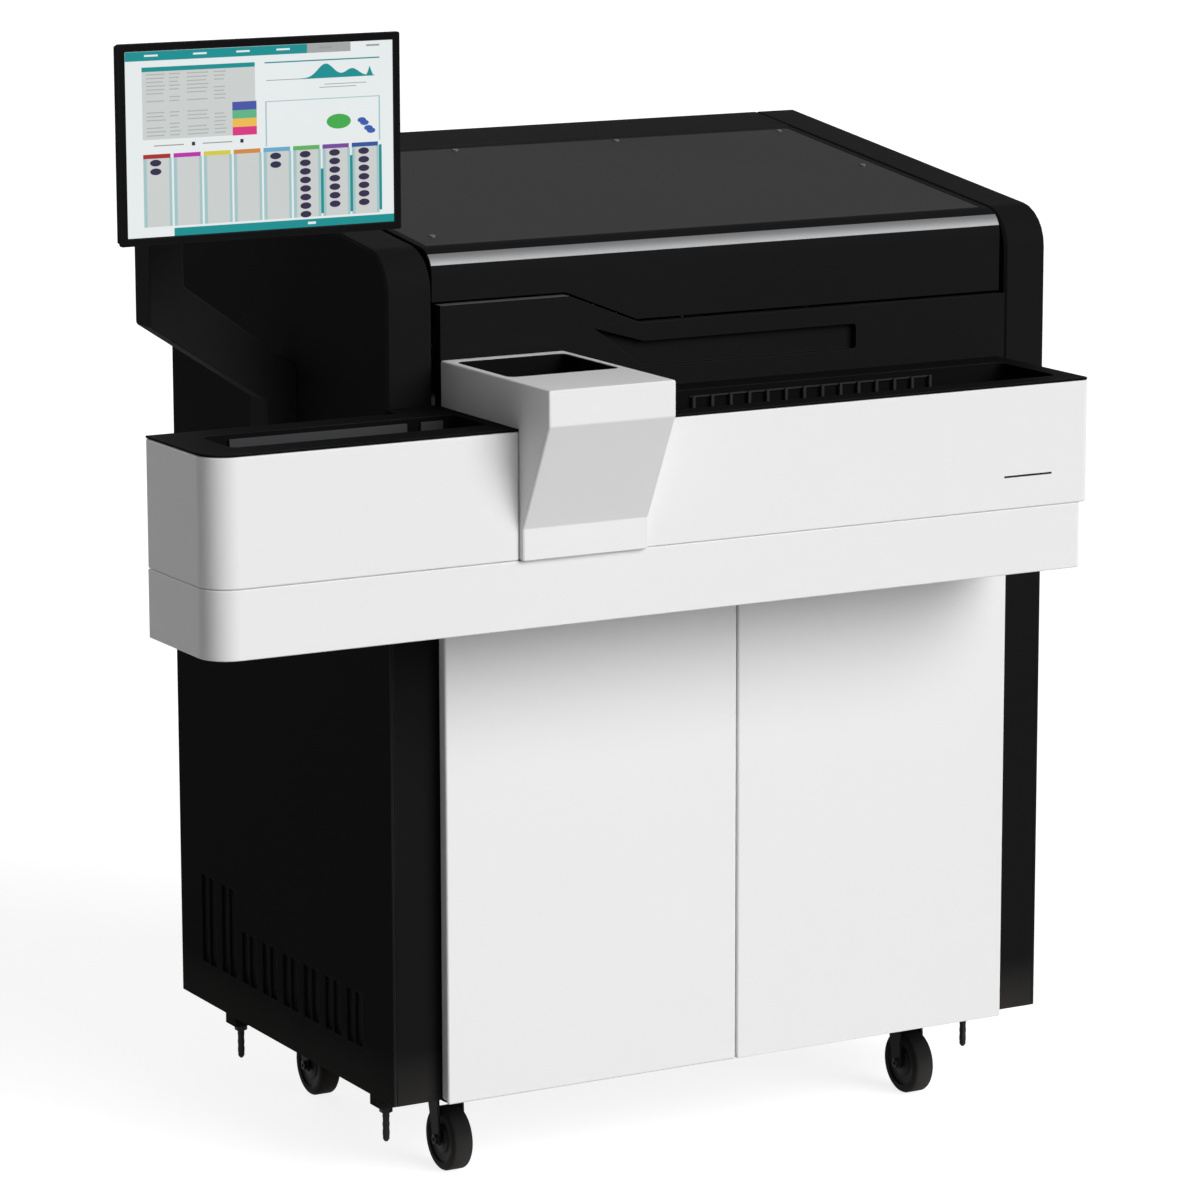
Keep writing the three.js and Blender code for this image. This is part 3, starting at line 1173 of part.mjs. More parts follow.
// Monitor bracket: a thick plate cranked out to the left of the body, rising to the arm's pivot
const postTop = beltTop + POST_RISE;
const pivotY = bodyFront + BRACKET_FRONT + BRACKET_DEPTH / 2;
function buildBracket() {
  const right = bodyLeft - SEAT_GAP;
  const leg = right - BRACKET_LEG_WIDTH;
  const left = monitorX - POST_WIDTH / 2;
  const inner = monitorX + POST_WIDTH / 2;
  const corners = [
    [right, beltTop - BRACKET_LEG_DROP, 0], [right, beltTop + BRACKET_RIGHT_RISE, BRACKET_EDGE],
    [inner, beltTop + BRACKET_SHOULDER_RISE, BRACKET_EDGE], [inner, postTop, 0], [left, postTop, 0],
    [left, beltTop + BRACKET_UPPER_RISE, BRACKET_EDGE], [leg, beltTop - BRACKET_LOWER_DROP, BRACKET_EDGE],
    [leg, beltTop - BRACKET_LEG_DROP, 0],
  ];
  const plate = prismY(corners, bodyFront + BRACKET_FRONT, bodyFront + BRACKET_FRONT + BRACKET_DEPTH);
  const floor = postTop - ARM_PIN_LENGTH - RUNNING_GAP;
  return plate.subtract(rodZ(ARM_PIN_RADIUS + RUNNING_GAP, monitorX, pivotY, floor, postTop + OVERRUN));
}

// Monitor arm: swings on the post and carries the head's pivot behind the monitor
const monitorBack = MONITOR_FRONT + BEZEL_DEPTH + SEAT_GAP + HOUSING_DEPTH + BULGE_DEPTH;
const tiltY = monitorBack + VESA_THICKNESS + TILT_CLEARANCE + TILT_LUG_RADIUS;
const headY = tiltY + HEAD_NECK;
const armReach = pivotY - headY;
function buildMonitorArm() {
  const low = SEAT_GAP;
  const high = low + ARM_HEIGHT;
  const hub = rodZ(ARM_PIVOT_RADIUS, 0, 0, low, high, ROUND_SIDES);
  const pin = rodZ(ARM_PIN_RADIUS, 0, 0, -ARM_PIN_LENGTH, low + ARM_HEIGHT / 2);
  const beam = block(-ARM_THICKNESS / 2, ARM_THICKNESS / 2, -armReach, 0, low, high);
  const end = rodZ(HEAD_RADIUS, 0, -armReach, low, high, ROUND_SIDES);
  const floor = high - ARM_PIN_LENGTH - RUNNING_GAP;
  const bore = rodZ(ARM_PIN_RADIUS + RUNNING_GAP, 0, -armReach, floor, high + OVERRUN);
  return joined([hub, pin, beam, end]).subtract(bore);
}

// Head: a pin in the arm's end and a neck with the tilt pin in front
const headZ = postTop + SEAT_GAP + ARM_HEIGHT;
const screenCentreZ = monitorBottom + MONITOR_HEIGHT / 2;
function buildHead() {
  const low = SEAT_GAP;
  const lift = screenCentreZ - headZ;
  const reach = headY - tiltY;
  const top = Math.max(lift + TILT_LUG_RADIUS, low + TILT_LUG_RADIUS);
  const pin = rodZ(ARM_PIN_RADIUS, 0, 0, -ARM_PIN_LENGTH, low + TILT_LUG);
  const hub = rodZ(HEAD_RADIUS, 0, 0, low, top, ROUND_SIDES);
  const neck = block(-TILT_LUG, TILT_LUG, -reach, 0, Math.max(lift - TILT_LUG_RADIUS, low), top);
  const eye = rodX(TILT_LUG_RADIUS, -TILT_LUG, TILT_LUG, -reach, lift, ROUND_SIDES);
  const bore = rodX(TILT_PIN_RADIUS + RUNNING_GAP, -TILT_LUG - OVERRUN, TILT_LUG + OVERRUN, -reach, lift);
  return joined([pin, hub, neck, eye]).subtract(bore);
}

// Monitor housing with its mounting plate, two lugs and the tilt pin; drawn from the tilt axis
function buildHousing() {
  const front = MONITOR_FRONT + BEZEL_DEPTH + SEAT_GAP - tiltY;
  const back = front + HOUSING_DEPTH;
  const inset = HOUSING_INSET;
  const shellPlan = [...centred(0, MONITOR_WIDTH - 2 * inset), ...centred(0, MONITOR_HEIGHT - 2 * inset)];
  const shell = prismY(rectangle(...shellPlan, inset), front, back);
  const bulgePlan = rectangle(...centred(0, BULGE_WIDTH), ...centred(0, BULGE_HEIGHT), BULGE_DEPTH);
  const bulge = prismY(bulgePlan, front + inset, back + BULGE_DEPTH, inset);
  const plateBack = -TILT_LUG_RADIUS - TILT_CLEARANCE;
  const plate = block(...centred(0, VESA_SIZE), back + inset, plateBack, ...centred(0, VESA_SIZE));
  const lugIn = TILT_LUG + SEAT_GAP;
  const lugOut = lugIn + TILT_LUG;
  const lug = (x0, x1) => {
    const web = block(x0, x1, plateBack - inset, 0, -TILT_LUG_RADIUS, TILT_LUG_RADIUS);
    return web.add(rodX(TILT_LUG_RADIUS, x0, x1, 0, 0));
  };
  const pin = rodX(TILT_PIN_RADIUS, -lugOut, lugOut, 0, 0);
  return joined([shell, bulge, plate, lug(-lugOut, -lugIn), lug(lugIn, lugOut), pin]);
}

function buildBezel() {
  const front = MONITOR_FRONT - tiltY;
  const plan = rectangle(...centred(0, MONITOR_WIDTH), ...centred(0, MONITOR_HEIGHT), HOUSING_INSET);
  const window = [centred(0, MONITOR_WIDTH - 2 * BEZEL_WIDTH), centred(0, MONITOR_HEIGHT - 2 * BEZEL_WIDTH)];
  const floor = front + SCREEN_RECESS + SCREEN_THICKNESS + SEAT_GAP;
  const frame = prismY(plan, front, front + BEZEL_DEPTH);
  return frame.subtract(block(...window[0], front - OVERRUN, floor, ...window[1]));
}

function buildScreen() {
  const halfWidth = MONITOR_WIDTH / 2 - BEZEL_WIDTH - SEAT_GAP;
  const halfHeight = MONITOR_HEIGHT / 2 - BEZEL_WIDTH - SEAT_GAP;
  const front = MONITOR_FRONT - tiltY + SCREEN_RECESS;
  return block(-halfWidth, halfWidth, front, front + SCREEN_THICKNESS, -halfHeight, halfHeight);
}

// Cabinet
piece('chassis_base', buildChassis(), black);
piece('front_frame', buildFrontFrame(), black);
piece('left_side_panel', buildSidePanel(bodyLeft, bodyLeft + SHEET), black);
piece('right_side_panel', buildSidePanel(bodyRight - SHEET, bodyRight), black);
piece('back_panel', buildBackPanel(), black);
piece('power_inlet', buildInlet(), softBlack);
piece('fluid_ports', buildPorts(), steel);

// Upper body
piece('left_arch', buildArch(bodyLeft, bodyLeft + ARCH_WIDTH), black);
piece('right_arch', buildArch(bodyRight - ARCH_WIDTH, bodyRight), black);
piece('rear_hood', buildHood(), black);
piece('front_fascia', buildFascia(), black);
piece('work_deck', buildDeck(), deckGrey);
piece('reagent_bowl', buildBowl(carouselX, reagentBowlRadius, CAROUSEL_SINK), aluminium);
piece('reaction_bowl', buildBowl(rotorX, reactionBowlRadius, ROTOR_SINK), aluminium);

// Belt, trays and pod
piece('belt_carrier', buildCarrier(), black);
piece('lower_belt', buildLowerBelt(), white);
piece('upper_belt_left', buildUpperBelt(0, podLeft, BELT_CORNER_RADIUS, 0), white);
piece('upper_belt_right', buildUpperBelt(podRight, BELT_WIDTH, 0, BELT_END_RADIUS), white);
piece('left_tray', buildTray(0, podLeft, bodyLeft, podLeft, leftChannel, BELT_CORNER_RADIUS, 0), softBlack);
const rightTray = buildTray(podRight, BELT_WIDTH, podRight, BELT_WIDTH, rightChannel, 0, BELT_END_RADIUS);
piece('right_tray', rightTray, softBlack);
piece('rack_rail', buildRail(), guide);
piece('tube_comb', buildComb(), guide);
piece('sample_pod', buildPod(), white);
piece('pod_well', buildWell(), softBlack);

// Doors
piece('left_door', buildDoor(LEFT_DOOR_WIDTH, 1), white, pivotGroup(leftHingeX, hingeY, bodyBottom));
const rightDoorWidth = doorRight - doorLeft - LEFT_DOOR_WIDTH - DOOR_SPLIT_GAP;
piece('right_door', buildDoor(rightDoorWidth, -1), white, pivotGroup(rightHingeX, hingeY, bodyBottom));

// Lid
const lid = pivotGroup(0, lidHingeY, lidHingeZ);
piece('lid_frame', buildLidFrame(), black, lid);
piece('lid_panel', buildLidPanel(), panelGrey, lid);
piece('lid_trim', buildLidTrim(), aluminium, lid);

// Work deck units
piece('reagent_carousel', buildCarousel(), bottleWhite, pivotGroup(carouselX, bowlY, deckTop));
piece('reaction_rotor', buildRotor(), clearBlue, pivotGroup(rotorX, bowlY, deckTop));
for (const [name, x, y, reach, turn] of probePlaces) {
  const column = pivotGroup(x, y, deckTop);
  piece(`${name}_shaft`, buildShaft(), steel, column);
  const arm = piece(`${name}_arm`, buildArm(reach, name === 'stirrer'), white, column);
  arm.rotation.z = THREE.MathUtils.degToRad(turn);
}
piece('wash_station', buildWashStation(), deckGrey);
piece('lamp_housing', buildLamp(), softBlack);

// Inside the cabinet
piece('water_tank', buildTank(waterTankX), tankWhite);
piece('waste_tank', buildTank(wasteTankX), tankWhite);
piece('electronics_box', buildElectronics(), deckGrey);

// Casters and studs
for (const [name, x, y] of casterPlaces) {
  const swivel = pivotGroup(x, y, bodyBottom - CASTER_PAD);
  piece(`caster_fork_${name}`, buildFork(), softBlack, swivel);
  const axle = pivotGroup(0, -CASTER_TRAIL, WHEEL_RADIUS - CASTER_HEIGHT + CASTER_PAD, swivel);
  piece(`caster_wheel_${name}`, buildWheel(), rubber, axle);
}
for (const [name, x, y] of studPlaces) {
  const stud = rodZ(STUD_RADIUS, 0, 0, 0, STUD_LENGTH);
  piece(`levelling_stud_${name}`, stud, steel, pivotGroup(x, y, STUD_TIP_HEIGHT));
}

// Monitor
piece('monitor_bracket', buildBracket(), softBlack);
piece('monitor_arm', buildMonitorArm(), softBlack, pivotGroup(monitorX, pivotY, postTop));
piece('monitor_head', buildHead(), softBlack, pivotGroup(monitorX, headY, headZ));
const monitor = pivotGroup(monitorX, tiltY, screenCentreZ);
piece('monitor_housing', buildHousing(), softBlack, monitor);
piece('monitor_bezel', buildBezel(), black, monitor);
piece('monitor_screen', buildScreen(), screenBlue, monitor);

// The middle of the overall box stands over the origin
const leftEnd = Math.min(0, monitorX - MONITOR_WIDTH / 2);
const rightEnd = Math.max(bodyRight, BELT_WIDTH);
const frontEnd = -POD_OVERHANG;
const rearEnd = bodyRear + SEAT_GAP + PORT_PLATE_THICKNESS + PORT_LENGTH;
machine.position.set(-(leftEnd + rightEnd) / 2, -(frontEnd + rearEnd) / 2, 0);

const analyser = new THREE.Group();
analyser.add(machine);
export default analyser;
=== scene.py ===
# Biochemistry analyser, dressed for a studio picture: a black cabinet on casters with two white doors,
# a white belt for sample racks in front, a lidded work deck above and a monitor on a side bracket.
import json
import math

import bpy
from mathutils import Matrix, Quaternion, Vector

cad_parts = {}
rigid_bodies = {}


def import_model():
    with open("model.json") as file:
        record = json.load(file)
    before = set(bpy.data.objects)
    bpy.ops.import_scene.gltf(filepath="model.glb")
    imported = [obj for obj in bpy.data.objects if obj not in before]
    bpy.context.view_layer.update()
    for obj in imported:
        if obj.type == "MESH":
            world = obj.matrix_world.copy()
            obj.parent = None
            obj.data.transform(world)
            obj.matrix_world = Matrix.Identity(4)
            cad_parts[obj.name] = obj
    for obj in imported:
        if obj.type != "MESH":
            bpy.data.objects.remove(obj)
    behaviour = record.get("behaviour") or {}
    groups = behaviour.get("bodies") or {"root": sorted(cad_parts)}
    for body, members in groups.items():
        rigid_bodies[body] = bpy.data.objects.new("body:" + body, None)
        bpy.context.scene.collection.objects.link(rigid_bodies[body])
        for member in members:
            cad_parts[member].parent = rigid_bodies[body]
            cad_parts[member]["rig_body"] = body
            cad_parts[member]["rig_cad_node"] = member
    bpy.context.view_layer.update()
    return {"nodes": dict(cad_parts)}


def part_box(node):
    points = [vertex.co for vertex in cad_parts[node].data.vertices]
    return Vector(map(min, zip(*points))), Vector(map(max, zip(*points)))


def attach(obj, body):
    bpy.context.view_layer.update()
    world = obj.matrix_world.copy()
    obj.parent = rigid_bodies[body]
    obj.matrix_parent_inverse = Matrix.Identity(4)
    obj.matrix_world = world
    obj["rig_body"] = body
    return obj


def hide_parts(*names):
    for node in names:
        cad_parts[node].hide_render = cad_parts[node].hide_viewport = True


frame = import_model()
nodes = frame["nodes"]

# Camera
# The photograph's own view: a long lens to the left of the front, a little above the belt.
# Its angles, distance and aim were fitted to the machine's edges.
VIEW_AZIMUTH = math.radians(-29.172)
VIEW_ELEVATION = math.radians(11.2)
VIEW_ROLL = math.radians(-0.108)
VIEW_DISTANCE = 5.596
VIEW_AIM = Vector((0.0613, -0.0457, 0.6093))
VIEW_LENS = 150.66

towards_camera = Vector((
    math.sin(VIEW_AZIMUTH) * math.cos(VIEW_ELEVATION),
    -math.cos(VIEW_AZIMUTH) * math.cos(VIEW_ELEVATION),
    math.sin(VIEW_ELEVATION),
))
bpy.ops.object.select_all(action="DESELECT")
bpy.ops.object.camera_add(location=VIEW_AIM + towards_camera * VIEW_DISTANCE)
camera = bpy.context.object
turn = towards_camera.to_track_quat("Z", "Y") @ Quaternion((0, 0, 1), VIEW_ROLL)
camera.rotation_euler = turn.to_euler()
camera.data.lens = VIEW_LENS
bpy.context.scene.camera = camera
bpy.context.scene.view_settings.view_transform = "Standard"

# Studio
# A pale floor that runs into a white surround, a soft key light from the front right, a low and weaker light
# from behind, and a weak fill. The white is only what the camera and reflections see, so it puts
# no light on the machine.
KEY_FROM = Vector((0.35, -0.79, 0.42))
KEY_STRENGTH = 3.1
REAR_FROM = Vector((0.04, 0.98, 0.16))
REAR_STRENGTH = 1.2
LIGHT_SOFTNESS = math.radians(42)
FILL_STRENGTH = 0.15
FLOOR_SIZE = 60
FLOOR_GREY = (0.42, 0.42, 0.42, 1)
FLOOR_GLOW = 0.84


def feed(tree, node, **inputs):
    """Gives a node's named inputs, with underscores for blanks, a value or another node's output."""
    for name, value in inputs.items():
        socket = node.inputs[name.replace("_", " ")]
        if isinstance(value, bpy.types.NodeSocket):
            tree.links.new(value, socket)
        else:
            socket.default_value = value
    return node


def add_node(tree, kind, **inputs):
    """Adds a shader node and feeds its inputs."""
    return feed(tree, tree.nodes.new("ShaderNode" + kind), **inputs)


def calculate(tree, operation, first, second):
    """The outcome of an operation on two nodes' outputs, or on an output and a number."""
    node = tree.nodes.new("ShaderNodeMath")
    node.operation = operation
    tree.links.new(first, node.inputs[0])
    if isinstance(second, bpy.types.NodeSocket):
        tree.links.new(second, node.inputs[1])
    else:
        node.inputs[1].default_value = second
    return node.outputs[0]


def seen_rays(tree):
    """A value of 1 for rays from the camera, from reflections and through glass."""
    path = add_node(tree, "LightPath").outputs
    mirrored = calculate(tree, "MAXIMUM", path["Is Camera Ray"], path["Is Glossy Ray"])
    return calculate(tree, "MAXIMUM", mirrored, path["Is Transmission Ray"])


for coming_from, strength in ((KEY_FROM, KEY_STRENGTH), (REAR_FROM, REAR_STRENGTH)):
    bpy.ops.object.light_add(type="SUN", location=coming_from * 4)
    lamp = bpy.context.object
    lamp.rotation_euler = coming_from.to_track_quat("Z", "Y").to_euler()
    lamp.data.energy = strength
    lamp.data.angle = LIGHT_SOFTNESS

surround = bpy.data.worlds.new("White surround")
bpy.context.scene.world = surround
surround.use_nodes = True
air = surround.node_tree
brightness = add_node(air, "MapRange", Value=seen_rays(air), To_Min=FILL_STRENGTH, To_Max=1)
feed(air, air.nodes["Background"], Color=(1, 1, 1, 1), Strength=brightness.outputs["Result"])

bpy.ops.object.select_all(action="DESELECT")
bpy.ops.mesh.primitive_plane_add(size=FLOOR_SIZE)
floor = bpy.context.object
floor.name = "studio_floor"
floor_finish = bpy.data.materials.new("Studio floor")
floor_finish.use_nodes = True
floor_tree = floor_finish.node_tree
floor_tree.nodes.remove(floor_tree.nodes["Principled BSDF"])
matt = add_node(floor_tree, "BsdfDiffuse", Color=FLOOR_GREY)
floor_light = calculate(floor_tree, "MULTIPLY", seen_rays(floor_tree), FLOOR_GLOW)
shine = add_node(floor_tree, "Emission", Strength=floor_light)
both = add_node(floor_tree, "AddShader")
floor_tree.links.new(matt.outputs[0], both.inputs[0])
floor_tree.links.new(shine.outputs[0], both.inputs[1])
floor_tree.links.new(both.outputs[0], floor_tree.nodes["Material Output"].inputs["Surface"])
floor.data.materials.append(floor_finish)

# Cabinet shell
# Folded steel sheets with a fine matt black powder coat: two sides with louvres, the back with vents,
# the floor plate, the front frame that carries the doors and the beam behind the belt. Their folded edges
# are slightly round, and patches of them are lighter: partly rubbed, partly a painted highlight where the
# edges catch the light.
FOLD_RADIUS = 0.0012
BLACK_COAT = ((0.0100, 0.0100, 0.0102), (0.0120, 0.0120, 0.0122))
FRAME_COAT = ((0.0086, 0.0086, 0.0088), (0.0097, 0.0097, 0.0099))
# Edge colour on the black finishes: partly rubbing, partly a painted highlight on the edges.
EDGE_WEAR_AND_HIGHLIGHT = (0.036, 0.036, 0.037)
POWDER_PER_METRE = 1400
CLOUDS_PER_METRE = 5
DUST_COLOUR = (0.11, 0.105, 0.095)
DUST_HEIGHT = 0.16
BLACK_GLOSS = 0.004
EDGE_MARK_PATCHES = (0.35, 0.6)
LEAST_EDGE_MARK = 0.35
MERGE_DISTANCE = 0.00002
FLAT_DEGREES = 0.5


def open_group(name, given, results):
    """A node group that takes and gives numbers: its tree, its input values and its node for the results."""
    tree = bpy.data.node_groups.new(name, "ShaderNodeTree")
    for label, start in given.items():
        socket = tree.interface.new_socket(name=label, in_out="INPUT", socket_type="NodeSocketFloat")
        socket.default_value = start
    for label in results:
        tree.interface.new_socket(name=label, in_out="OUTPUT", socket_type="NodeSocketFloat")
    return tree, tree.nodes.new("NodeGroupInput").outputs, tree.nodes.new("NodeGroupOutput")


def build_texture_group():
    """Fine grain and soft clouds over a surface, on the piece's own coordinates."""
    given = {"Grain per metre": POWDER_PER_METRE, "Clouds per metre": CLOUDS_PER_METRE}
    tree, given, results = open_group("Grain and clouds", given, ("Grain", "Clouds"))
    place = add_node(tree, "TexCoord").outputs["Object"]
    grain = add_node(tree, "TexNoise", Vector=place, Scale=given["Grain per metre"], Detail=3)
    clouds = add_node(tree, "TexNoise", Vector=place, Scale=given["Clouds per metre"], Detail=5,
                      Roughness=0.6)
    feed(tree, results, Grain=grain.outputs[0], Clouds=clouds.outputs[0])
    return tree


def own_height(tree):
    """The height of a point on the piece's own coordinates."""
    place = add_node(tree, "TexCoord").outputs["Object"]
    return add_node(tree, "SeparateXYZ", Vector=place).outputs["Z"]


def build_dust_group():
    """A mask that is 1 at the floor and fades out with height, broken up by a cloud value."""
    tree, given, results = open_group("Floor dust", {"Height": DUST_HEIGHT, "Clouds": 0.5}, ("Dust",))
    fade = add_node(tree, "MapRange", Value=own_height(tree), From_Max=given["Height"], To_Min=1, To_Max=0)
    feed(tree, results, Dust=calculate(tree, "MULTIPLY", fade.outputs["Result"], given["Clouds"]))
    return tree


def build_wear_and_highlight_group():
    """A mask on the rounded edges, broken up by a cloud value so that only part of each edge is marked:
    rubbed, and on the black finishes also a painted highlight.
    """
    tree, given, results = open_group("Rubbed and highlit edges", {"Clouds": 0.5, "Amount": 0.5}, ("Wear",))
    edge = add_node(tree, "Attribute")
    edge.attribute_name = "edge"
    patchy = add_node(tree, "MapRange", Value=given["Clouds"], From_Min=EDGE_MARK_PATCHES[0],
                      From_Max=EDGE_MARK_PATCHES[1], To_Min=LEAST_EDGE_MARK)
    rubbed = calculate(tree, "MULTIPLY", edge.outputs["Fac"], patchy.outputs["Result"])
    feed(tree, results, Wear=calculate(tree, "MULTIPLY", rubbed, given["Amount"]))
    return tree


texture_group = build_texture_group()
dust_group = build_dust_group()
wear_and_highlight_group = build_wear_and_highlight_group()


def place_group(tree, group, **inputs):
    """Puts a shared effect in a material and feeds its inputs."""
    effect = tree.nodes.new("ShaderNodeGroup")
    effect.node_tree = group
    return feed(tree, effect, **inputs)


def mix_colour(tree, mask, first, second):
    """Mixes towards a second colour by a mask; the first may be a colour or another node's output."""
    mix = tree.nodes.new("ShaderNodeMix")
    mix.data_type = "RGBA"
    start = (*first, 1) if isinstance(first, tuple) else first
    return feed(tree, mix, Factor=mask, A=start, B=(*second, 1)).outputs["Result"]


def finish(name, colour, cloud, roughness, spread, bump, grain=POWDER_PER_METRE, clouds=CLOUDS_PER_METRE,
           specular=0.3, metallic=0.0, dust=0.0, transmission=0.0, wear_and_highlight=None, wear_and_highlight_share=0.5):
    """Two close colours in clouds, uneven roughness, a fine grain, rubbed edges that on black are also a
    painted highlight, and floor dust.
    """
    material = bpy.data.materials.new(name)
    material.use_nodes = True
    tree = material.node_tree
    texture = place_group(tree, texture_group, Grain_per_metre=grain, Clouds_per_metre=clouds)
    cloudy = texture.outputs["Clouds"]
    shade = mix_colour(tree, cloudy, colour, cloud)
    if wear_and_highlight:
        edges = place_group(tree, wear_and_highlight_group, Clouds=cloudy, Amount=wear_and_highlight_share)
        shade = mix_colour(tree, edges.outputs["Wear"], shade, wear_and_highlight)
    if dust:
        fade = place_group(tree, dust_group, Clouds=cloudy, Height=dust)
        shade = mix_colour(tree, fade.outputs["Dust"], shade, DUST_COLOUR)
    uneven = add_node(tree, "MapRange", Value=cloudy, To_Min=roughness - spread, To_Max=roughness + spread)
    relief = add_node(tree, "Bump", Height=texture.outputs["Grain"], Strength=bump, Distance=1 / grain)
    feed(tree, tree.nodes["Principled BSDF"], Base_Color=shade, Roughness=uneven.outputs["Result"],
         Normal=relief.outputs["Normal"], Specular_IOR_Level=specular, Metallic=metallic,
         Transmission_Weight=transmission)
    return material


def enter(mode):
    """Puts the active piece in edit mode or back in object mode."""
    bpy.ops.object.mode_set(mode=mode)


def add_bevel(piece, radius, segments, corner):
    """Puts a modifier on a piece that rounds its sharp edges."""
    edge = piece.modifiers.new("Round edges", "BEVEL")
    edge.width = radius
    edge.segments = segments
    edge.limit_method = "ANGLE"
    edge.angle_limit = math.radians(corner)
    return edge


def rounded(node, material, radius, segments=2, corner=40, smooth=38):
    """A copy of a frame piece with its sharp edges rounded and marked for the rubbed and highlit edge colour,
    which stands for it.
    """
    bpy.ops.object.select_all(action="DESELECT")
    copy = nodes[node].copy()
    copy.data = nodes[node].data.copy()
    copy.name = node + "_finished"
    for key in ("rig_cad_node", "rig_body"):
        del copy[key]
    copy.parent = None
    bpy.context.collection.objects.link(copy)
    bpy.context.view_layer.objects.active = copy
    copy.select_set(True)
    enter("EDIT")
    bpy.ops.mesh.select_all(action="SELECT")
    bpy.ops.mesh.remove_doubles(threshold=MERGE_DISTANCE)
    bpy.ops.mesh.dissolve_limited(angle_limit=math.radians(FLAT_DEGREES))
    enter("OBJECT")
    copy.data.materials.clear()
    for _ in range(2):
        copy.data.materials.append(material)
    add_bevel(copy, radius, segments, corner).material = 1
    even = copy.modifiers.new("Even shading", "WEIGHTED_NORMAL")
    even.keep_sharp = True
    bpy.ops.object.shade_smooth_by_angle(angle=math.radians(smooth))
    bpy.ops.object.modifier_apply(modifier="Round edges")
    bpy.ops.object.modifier_apply(modifier="Even shading")
    mask = copy.data.attributes.new("edge", "FLOAT", "FACE")
    for face in copy.data.polygons:
        mask.data[face.index].value = face.material_index
        face.material_index = 0
    copy.data.materials.pop()
    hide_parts(node)
    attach(copy, nodes[node]["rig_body"])
    return copy


powder_coat = finish("Black powder coat", *BLACK_COAT, 0.70, 0.06, 0.25, specular=BLACK_GLOSS,
                     dust=DUST_HEIGHT, wear_and_highlight=EDGE_WEAR_AND_HIGHLIGHT)
for node in ("left_side_panel", "right_side_panel", "back_panel", "chassis_base"):
    rounded(node, powder_coat, FOLD_RADIUS)
frame_coat = finish("Black frame coat", *FRAME_COAT, 0.66, 0.05, 0.18, specular=BLACK_GLOSS,
                    dust=DUST_HEIGHT, wear_and_highlight=EDGE_WEAR_AND_HIGHLIGHT)
for node in ("front_frame", "belt_carrier"):
    rounded(node, frame_coat, FOLD_RADIUS)

# Louvre filters
# Behind the louvres of each side and behind both vents of the back stands a pleated dust filter of dark grey
# felt, held to the inside of the sheet by its edges. It is what shows through the slots. Its grey is made
# lighter than the felt's own as painted light, against the shade inside the slots.
FILTER_PLEAT = 0.0030
FILTER_PITCH = 0.0042
FILTER_CLEARANCE = 0.0022
FILTER_REACH = 0.47
FILTER_START = 0.062
FILTER_FOOT = 0.138
FILTER_TALL = 0.132
VENT_REACH = 0.192
VENT_INSET = 0.084
VENT_DROP = 0.159
VENT_TALL = 0.165
# Painted light: the felt's grey is raised to undo the shade inside the slots.
FELT_GREY_PAINTED_LIGHT = ((0.085, 0.085, 0.086), (0.10, 0.10, 0.101))


def apply_place():
    """Moves the place, turn and size of the selected object into its mesh."""
    bpy.ops.object.transform_apply(location=True, rotation=True, scale=True)


def add_rod(radius, length, centre, along="Z", sides=32):
    """A round bar with flat ends about a centre, its axis along X, Y or Z, ready for shaping."""
    bpy.ops.object.select_all(action="DESELECT")
    turn = {"X": (0, math.pi / 2, 0), "Y": (math.pi / 2, 0, 0), "Z": (0, 0, 0)}[along]
    bpy.ops.mesh.primitive_cylinder_add(vertices=sides, radius=radius, depth=length, location=centre,
                                        rotation=turn)
    apply_place()
    return bpy.context.object


def add_block(low, high):
    """A block between two opposite corners, ready for shaping."""
    bpy.ops.object.select_all(action="DESELECT")
    low, high = Vector(low), Vector(high)
    bpy.ops.mesh.primitive_cube_add(size=1, location=(low + high) / 2, scale=high - low)
    apply_place()
    return bpy.context.object


def hand_over(piece, name, material, body):
    """Names a finished piece, gives it its finish and slot and lets it ride on its body."""
    piece.name = name
    piece.data.materials.clear()
    piece.data.materials.append(material)
    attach(piece, body)
    return piece


felt = finish("Filter felt", *FELT_GREY_PAINTED_LIGHT, 0.85, 0.05, 0.5, grain=2600, specular=0.0)
back_low, back_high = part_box("back_panel")
filter_y = back_low.y - FILTER_CLEARANCE - FILTER_PLEAT
vent_z = back_high.z - VENT_DROP
filters = []
for side, x in (("left", back_low.x + VENT_INSET), ("right", back_high.x - VENT_INSET - VENT_REACH)):
    centre = (x, filter_y, vent_z)
    filters.append((side + "_vent_filter", centre, VENT_TALL, (FILTER_PITCH, 0, 0), VENT_REACH))
for side, inward in (("left", 1), ("right", -1)):
    panel_low, panel_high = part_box(side + "_side_panel")
    inner_x = panel_high.x if inward > 0 else panel_low.x
    x = inner_x + inward * (FILTER_CLEARANCE + FILTER_PLEAT)
    centre = (x, panel_low.y + FILTER_START, FILTER_FOOT + FILTER_TALL / 2)
    filters.append((side + "_louvre_filter", centre, FILTER_TALL, (0, FILTER_PITCH, 0), FILTER_REACH))
for name, centre, tall, step, reach in filters:
    pleats = add_rod(FILTER_PLEAT, tall, centre, sides=3)
    row = pleats.modifiers.new("Row of pleats", "ARRAY")
    row.use_relative_offset = False
    row.use_constant_offset = True
    row.constant_offset_displace = step
    row.count = round(reach / FILTER_PITCH)
    bpy.ops.object.modifier_apply(modifier="Row of pleats")
    hand_over(pleats, name, felt, "body")

